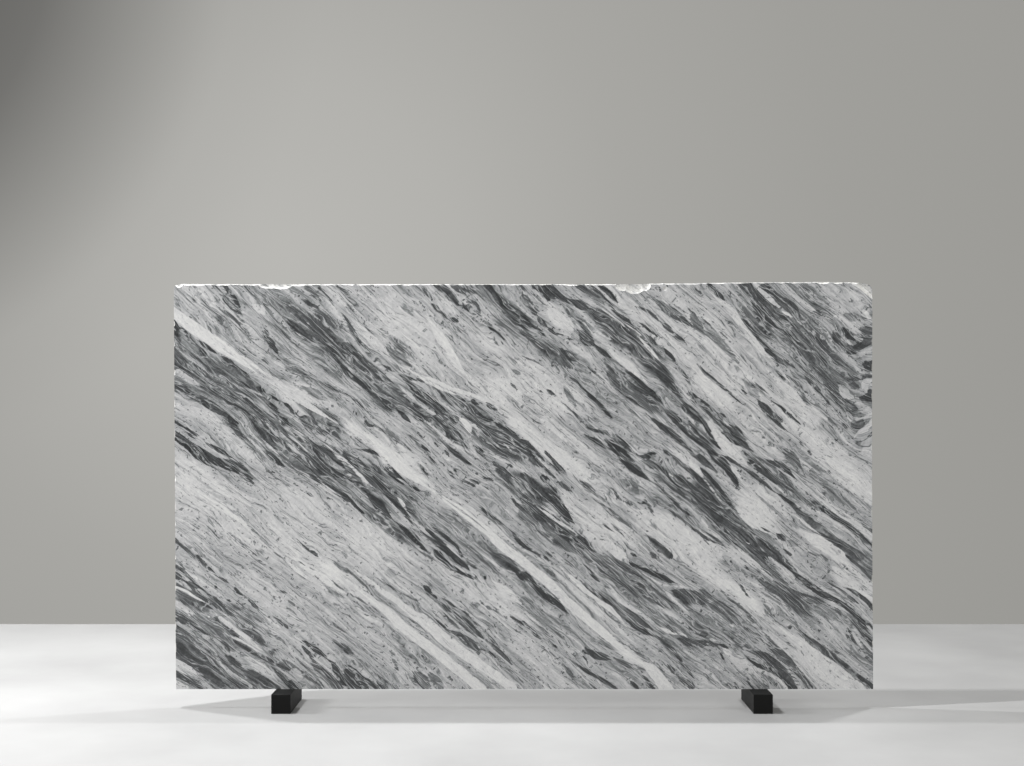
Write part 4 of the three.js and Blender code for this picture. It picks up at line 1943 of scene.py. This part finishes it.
def drawn_greys(tree, read, place):
    """The drawing: the broad zones, and the narrow beds over them with frayed edges.

    Gives the greys and how far the stone's own threads may change them: less in a bed."""
    frays = stretched(
        tree, place, length=0.060, width=0.0060, seed=35.1, detail=4.0, roughness=0.65,
        wander=0.2)
    value, freedom = read["zone"], 1.0
    for kind in ("pale", "dark"):
        frayed = shaken(tree, read[kind + "_depth"], frays, reach=3.6)
        inside = cut(tree, frayed, level=0.0, edge=0.5)
        value = add(tree, "Mix", inside, value, read[kind + "_grey"])
        freedom = add(tree, "Math", inside, -0.30, freedom, operation="MULTIPLY_ADD")
    return value, freedom


def grown_greys(tree, place, value, freedom):
    """The drawn greys broken up into the stone's own dark and pale threads."""
    streaks = stretched(
        tree, place, length=0.15, width=0.0110, seed=11.7, detail=4.0, roughness=0.64,
        wander=0.15)
    threads = stretched(
        tree, place, length=0.21, width=0.0058, seed=23.9, roughness=0.6, wander=0.1)
    swing = add(tree, "Math", streaks, -0.15, operation="ADD")
    swing = shaken(tree, swing, threads, reach=0.9)
    swing = add(tree, "Math", swing, -0.35, operation="ADD")
    swing = add(tree, "Math", swing, freedom, operation="MULTIPLY")
    calm = add(tree, "Math", value, -1.5, 1.45, operation="MULTIPLY_ADD")
    swing = add(tree, "Math", swing, calm, operation="MULTIPLY")
    value = add(tree, "Math", swing, value, operation="ADD")
    return add(tree, "ValToRGB", value, stops=(
        (0.20, 0.265), (0.40, 0.36), (0.50, 0.46), (0.60, 0.615), (0.70, 0.725), (0.80, 0.79),
        (1.0, 0.90)))


def lined_greys(tree, place, value):
    """Fine lines over the greys: white calcite in the dark beds and dark mica in the pale ones.

    Real ones are often under 1 mm wide. They are drawn 1 or 2 mm wide here, so that they
    show."""
    hairs = stretched(tree, place, length=0.42, width=0.034, seed=41.3, wander=0.12)
    hairs = thin_lines(tree, hairs, thinness=54.0)
    cracks = stretched(
        tree, place, length=0.34, width=0.060, seed=57.7, detail=4.0, roughness=0.62,
        wander=0.12)
    cracks = thin_lines(tree, cracks, thinness=44.0)
    patches = stretched(tree, place, length=0.5, width=0.16, seed=71.9, detail=1.0)
    patches = add(tree, "ValToRGB", patches, stops=((0.42, 0.0), (0.55, 1.0)))
    cracks = add(tree, "Math", cracks, patches, operation="MULTIPLY")
    white = add(tree, "Math", hairs, cracks, operation="MAXIMUM")
    dark = add(tree, "ValToRGB", value, stops=((0.36, 1.0), (0.66, 0.0)))
    white = add(tree, "Math", white, dark, operation="MULTIPLY")
    value = add(tree, "Math", white, 0.34, value, operation="MULTIPLY_ADD")

    seams = stretched(
        tree, place, length=0.42, width=0.036, seed=63.1, detail=4.0, roughness=0.6,
        wander=0.3)
    seams = thin_lines(tree, seams, thinness=44.0)
    breaks = stretched(tree, place, length=0.11, width=0.020, seed=67.7, detail=2.0)
    breaks = add(tree, "ValToRGB", breaks, stops=((0.44, 0.0), (0.54, 1.0)))
    flecks = stretched(
        tree, place, length=0.016, width=0.0070, seed=83.3, detail=2.0, roughness=0.5)
    flecks = add(tree, "ValToRGB", flecks, stops=((0.63, 0.0), (0.67, 1.0)))
    mica = add(tree, "Math", seams, breaks, operation="MULTIPLY")
    mica = add(tree, "Math", mica, flecks, operation="MAXIMUM")
    pale = add(tree, "ValToRGB", value, stops=((0.52, 0.0), (0.62, 1.0), (0.76, 0.8), (0.82, 0.1)))
    mica = add(tree, "Math", mica, pale, operation="MULTIPLY")
    return add(tree, "Math", mica, -0.30, value, operation="MULTIPLY_ADD")


def marble(settings):
    """Polished grey marble. The beds' greys come from the mesh, and finer ones are grown here.

    A polish gives a dark, glossy surface with clear reflections of lamps. A sawn face is dull,
    and a break is white, because every bruised crystal scatters the light."""
    material = bpy.data.materials.new("polished grey marble")
    material.use_nodes = True
    tree = material.node_tree
    shader = tree.nodes["Principled BSDF"]
    read = {
        name: add(tree, "Attribute", attribute_name=name, give=2)
        for name in (
            "zone", "dark_depth", "dark_grey", "pale_depth", "pale_grey", "along", "across",
            "sawn", "broken")}
    place = bed_places(tree, read)
    value, freedom = drawn_greys(tree, read, place)
    value = grown_greys(tree, place, value, freedom)
    value = lined_greys(tree, place, value)
    mottle = stretched(
        tree, place, length=0.034, width=0.013, seed=91.7, detail=4.0, roughness=0.7,
        wander=0.3)
    value = shaken(tree, value, mottle, reach=0.22)
    grain = stretched(
        tree, place, length=0.0065, width=0.0045, seed=29.5, detail=2.0, roughness=0.6)
    value = shaken(tree, value, grain, reach=0.16)
    stone = add(tree, "ValToRGB", value, stops=STONE_COLOURS)

    dulled = add(tree, "Math", read["sawn"], 0.35, operation="MULTIPLY")
    surface = add(tree, "Mix", dulled, stone, to_linear(STONE_DUST), data_type="RGBA")
    crystals = stretched(tree, place, length=0.006, width=0.004, seed=5.3, roughness=0.7)
    bruised = add(tree, "ValToRGB", crystals, stops=BRUISED_COLOURS)
    patches = stretched(tree, place, length=0.030, width=0.011, seed=47.1, roughness=0.7)
    patches = add(tree, "ValToRGB", patches, stops=((0.38, 0.12), (0.62, 0.85)))
    broken = add(tree, "Math", read["broken"], patches, operation="MULTIPLY")
    surface = add(tree, "Mix", broken, surface, bruised, data_type="RGBA")

    rough = add(tree, "Math", read["sawn"], read["broken"], operation="ADD")
    rough = add(tree, "Math", rough, 0.5, settings.polish, operation="MULTIPLY_ADD")
    uneven = add(tree, "Math", read["broken"], 3.0, read["sawn"], operation="MULTIPLY_ADD")
    uneven = add(tree, "Math", uneven, 0.3, operation="MULTIPLY")
    bumps = add(tree, "Bump", uneven, 0.4 * MM, None, crystals)
    tree.links.new(surface, shader.inputs["Base Color"])
    tree.links.new(rough, shader.inputs["Roughness"])
    tree.links.new(bumps, shader.inputs["Normal"])
    shader.inputs["IOR"].default_value = 1.5
    return material


def painted_timber(settings):
    """Sawn softwood under matt black paint: nearly black, with a soft sheen over the grain."""
    material = bpy.data.materials.new("matt black painted timber")
    material.use_nodes = True
    tree = material.node_tree
    shader = tree.nodes["Principled BSDF"]
    place = add(tree, "TexCoord", give=3)
    along = add(tree, "Mapping", place, None, None, (1 / 0.004, 1 / 0.12, 1 / 0.004))
    grain = add(tree, "TexNoise", along, 1.0, 4.0, 0.6)
    dust = add(tree, "TexNoise", place, 1 / 0.03, 5.0, 0.65)
    black = to_linear(int(settings.paint_grey) * 0x10101)
    dusted = add(tree, "Math", dust, 0.35, operation="MULTIPLY")
    worn = add(tree, "Mix", dusted, black, to_linear(TIMBER_DUST), data_type="RGBA")
    rough = add(tree, "Math", dust, 0.15, 0.50, operation="MULTIPLY_ADD")
    bumps = add(tree, "Bump", 0.35, 0.3 * MM, None, grain)
    tree.links.new(worn, shader.inputs["Base Color"])
    tree.links.new(rough, shader.inputs["Roughness"])
    tree.links.new(bumps, shader.inputs["Normal"])
    shader.inputs["Specular IOR Level"].default_value = 0.2
    return material


def studio_floor(settings):
    """Pale levelled screed: matt, with faint clouds a metre or so across."""
    material = bpy.data.materials.new("pale studio floor")
    material.use_nodes = True
    tree = material.node_tree
    shader = tree.nodes["Principled BSDF"]
    clouds = add(tree, "TexNoise", add(tree, "TexCoord", give=3), 1.1, 5.0, 0.55)
    grey = settings.floor_grey
    screed = add(tree, "ValToRGB", clouds, stops=((0.30, grey - 0.03), (0.70, grey + 0.03)))
    tree.links.new(screed, shader.inputs["Base Color"])
    shader.inputs["Roughness"].default_value = 0.6
    return material


# ------------------------------------------------------------------ pieces and stage

def place_piece(mesh, name, node, material):
    """Shows a finished mesh in the place of its solid."""
    piece = bpy.data.objects.new(name, mesh)
    bpy.context.scene.collection.objects.link(piece)
    mesh.materials.append(material)
    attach(piece, "root")
    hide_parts(node)
    return piece


def area_lamp(name, place, target, size, power):
    """A soft white rectangular lamp that points at a target."""
    data = bpy.data.lights.new(name, "AREA")
    data.shape = "RECTANGLE"
    data.size, data.size_y = size
    data.energy = power
    lamp = bpy.data.objects.new(name, data)
    lamp.location = place
    lamp.rotation_euler = (Vector(target) - Vector(place)).to_track_quat("-Z", "Y").to_euler()
    bpy.context.scene.collection.objects.link(lamp)


def make_floor(settings):
    """The floor, with a tongue behind the slab so that it ends out of sight there."""
    bm = bmesh.new()
    for half_width, near, far in (
            (FLOOR_HALF, FLOOR_NEAR, FLOOR_FAR), (TONGUE_HALF, FLOOR_FAR, TONGUE_FAR)):
        sheet = bmesh.ops.create_grid(bm, x_segments=1, y_segments=1, size=1)["verts"]
        bmesh.ops.scale(bm, vec=(half_width, (far - near) / 2, 1), verts=sheet)
        bmesh.ops.translate(bm, vec=(0, (far + near) / 2, 0), verts=sheet)
    mesh = bpy.data.meshes.new("floor")
    bm.to_mesh(mesh)
    bm.free()
    floor = bpy.data.objects.new("floor", mesh)
    mesh.materials.append(studio_floor(settings))
    bpy.context.scene.collection.objects.link(floor)


def pool(tree, middle, stops):
    """A ramp over the angle, in half turns, between every direction and the pool's middle."""
    ray = add(tree, "TexCoord")
    facing = add(
        tree, "VectorMath", ray, Vector(middle).normalized(), operation="DOT_PRODUCT")
    angle = add(tree, "Math", facing, operation="ARCCOSINE")
    turn = add(tree, "Math", angle, math.pi, operation="DIVIDE")
    return add(tree, "ValToRGB", turn, stops=stops)


def light_studio(settings):
    """A grey surround with a painted pool of light and painted shade on it, and the lamps."""
    world = bpy.data.worlds.new("studio")
    bpy.context.scene.world = world
    world.use_nodes = True
    tree = world.node_tree
    surround = tree.nodes["Background"]
    # Painted shade in the backdrop's left corner, and a painted pool of light as its colour.
    shade = pool(tree, SHADE_MIDDLE, SHADE_SHARES)
    strength = add(tree, "Math", shade, settings.surround, operation="MULTIPLY")
    tree.links.new(pool(tree, POOL_MIDDLE, POOL_GREYS), surround.inputs["Color"])
    tree.links.new(strength, surround.inputs["Strength"])
    for name, place, target, size, setting, share in LAMPS:
        area_lamp(name, place, target, size, share * getattr(settings, setting))


def place_camera():
    """A level camera 5.6 m in front of the slab, at a standing person's height."""
    data = bpy.data.cameras.new("camera")
    data.lens = CAMERA_LENS
    data.sensor_width = CAMERA_FILM
    data.shift_y = CAMERA_RISE
    camera = bpy.data.objects.new("camera", data)
    camera.location = CAMERA_PLACE
    camera.rotation_euler = (math.radians(90), 0, 0)
    bpy.context.scene.collection.objects.link(camera)
    bpy.context.scene.camera = camera


# ------------------------------------------------------------------ the add-on

class StoneSettings(bpy.types.PropertyGroup):
    """The slab's finish."""

    polish: bpy.props.FloatProperty(
        name="Polish", description="Roughness of the polished face", default=0.24,
        min=0.02, max=1.0)


class BearerSettings(bpy.types.PropertyGroup):
    """The two blocks under the slab."""

    arris: bpy.props.FloatProperty(
        name="Arris", description="Width of the eased arrises", default=2 * MM,
        min=0.2 * MM, max=10 * MM, unit="LENGTH")
    paint_grey: bpy.props.IntProperty(
        name="Paint grey", description="sRGB grey of the paint", default=6, min=2, max=120)


class StageSettings(bpy.types.PropertyGroup):
    """The studio round the slab."""

    floor_grey: bpy.props.FloatProperty(
        name="Floor grey", description="Share of light the floor gives back", default=0.29,
        min=0.1, max=0.95, subtype="FACTOR")
    surround: bpy.props.FloatProperty(
        name="Surround", description="Brightness of the studio's walls", default=1.0, min=0.0)
    key: bpy.props.FloatProperty(
        name="Key", description="Power of the lamp on the left", default=76, min=0.0,
        unit="POWER")
    fill: bpy.props.FloatProperty(
        name="Fill", description="Power of the lamp on the right", default=113, min=0.0,
        unit="POWER")
    overhead: bpy.props.FloatProperty(
        name="Overhead", description="Power that the strips above are measured by", default=402,
        min=0.0, unit="POWER")
    side: bpy.props.FloatProperty(
        name="Side", description="Power of the lamp beside the slab", default=195, min=0.0,
        unit="POWER")


class SLAB_OT_make_slab(bpy.types.Operator):
    """Builds the marble slab in the place of its solid."""

    bl_idname = "slab.make_slab"
    bl_label = "Marble slab"

    def execute(self, context):
        settings = context.scene.slab_stone
        mesh = slab_mesh(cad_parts["slab"])
        place_piece(mesh, "marble_slab", "slab", marble(settings))
        return {"FINISHED"}


class SLAB_OT_make_bearers(bpy.types.Operator):
    """Builds the two bearer blocks in the place of their solids."""

    bl_idname = "slab.make_bearers"
    bl_label = "Bearer blocks"

    def execute(self, context):
        settings = context.scene.slab_bearers
        material = painted_timber(settings)
        for node in ("bearer_left", "bearer_right"):
            mesh = bearer_mesh(node, settings)
            place_piece(mesh, f"block_{node}", node, material)
        return {"FINISHED"}


class SLAB_OT_make_stage(bpy.types.Operator):
    """Builds the floor, the lamps and the camera."""

    bl_idname = "slab.make_stage"
    bl_label = "Studio"

    def execute(self, context):
        settings = context.scene.slab_stage
        make_floor(settings)
        light_studio(settings)
        place_camera()
        context.scene.view_settings.view_transform = "Standard"
        return {"FINISHED"}


class SLAB_PT_panel(bpy.types.Panel):
    """The slab's operators and their settings."""

    bl_label = "Marble slab"
    bl_space_type = "VIEW_3D"
    bl_region_type = "UI"
    bl_category = "Marble slab"

    def draw(self, context):
        scene = context.scene
        for operator, settings in (
            (SLAB_OT_make_slab, scene.slab_stone),
            (SLAB_OT_make_bearers, scene.slab_bearers),
            (SLAB_OT_make_stage, scene.slab_stage),
        ):
            self.layout.operator(operator.bl_idname)
            for name in settings.bl_rna.properties.keys():
                if name not in ("rna_type", "name"):
                    self.layout.prop(settings, name)


CLASSES = (
    StoneSettings, BearerSettings, StageSettings,
    SLAB_OT_make_slab, SLAB_OT_make_bearers, SLAB_OT_make_stage, SLAB_PT_panel)


def register():
    for made in CLASSES:
        bpy.utils.register_class(made)
    bpy.types.Scene.slab_stone = bpy.props.PointerProperty(type=StoneSettings)
    bpy.types.Scene.slab_bearers = bpy.props.PointerProperty(type=BearerSettings)
    bpy.types.Scene.slab_stage = bpy.props.PointerProperty(type=StageSettings)


def unregister():
    for name in ("slab_stone", "slab_bearers", "slab_stage"):
        delattr(bpy.types.Scene, name)
    for made in reversed(CLASSES):
        bpy.utils.unregister_class(made)


def main():
    register()
    bpy.ops.slab.make_slab()
    bpy.ops.slab.make_bearers()
    bpy.ops.slab.make_stage()


if __name__ == "__main__":
    main()
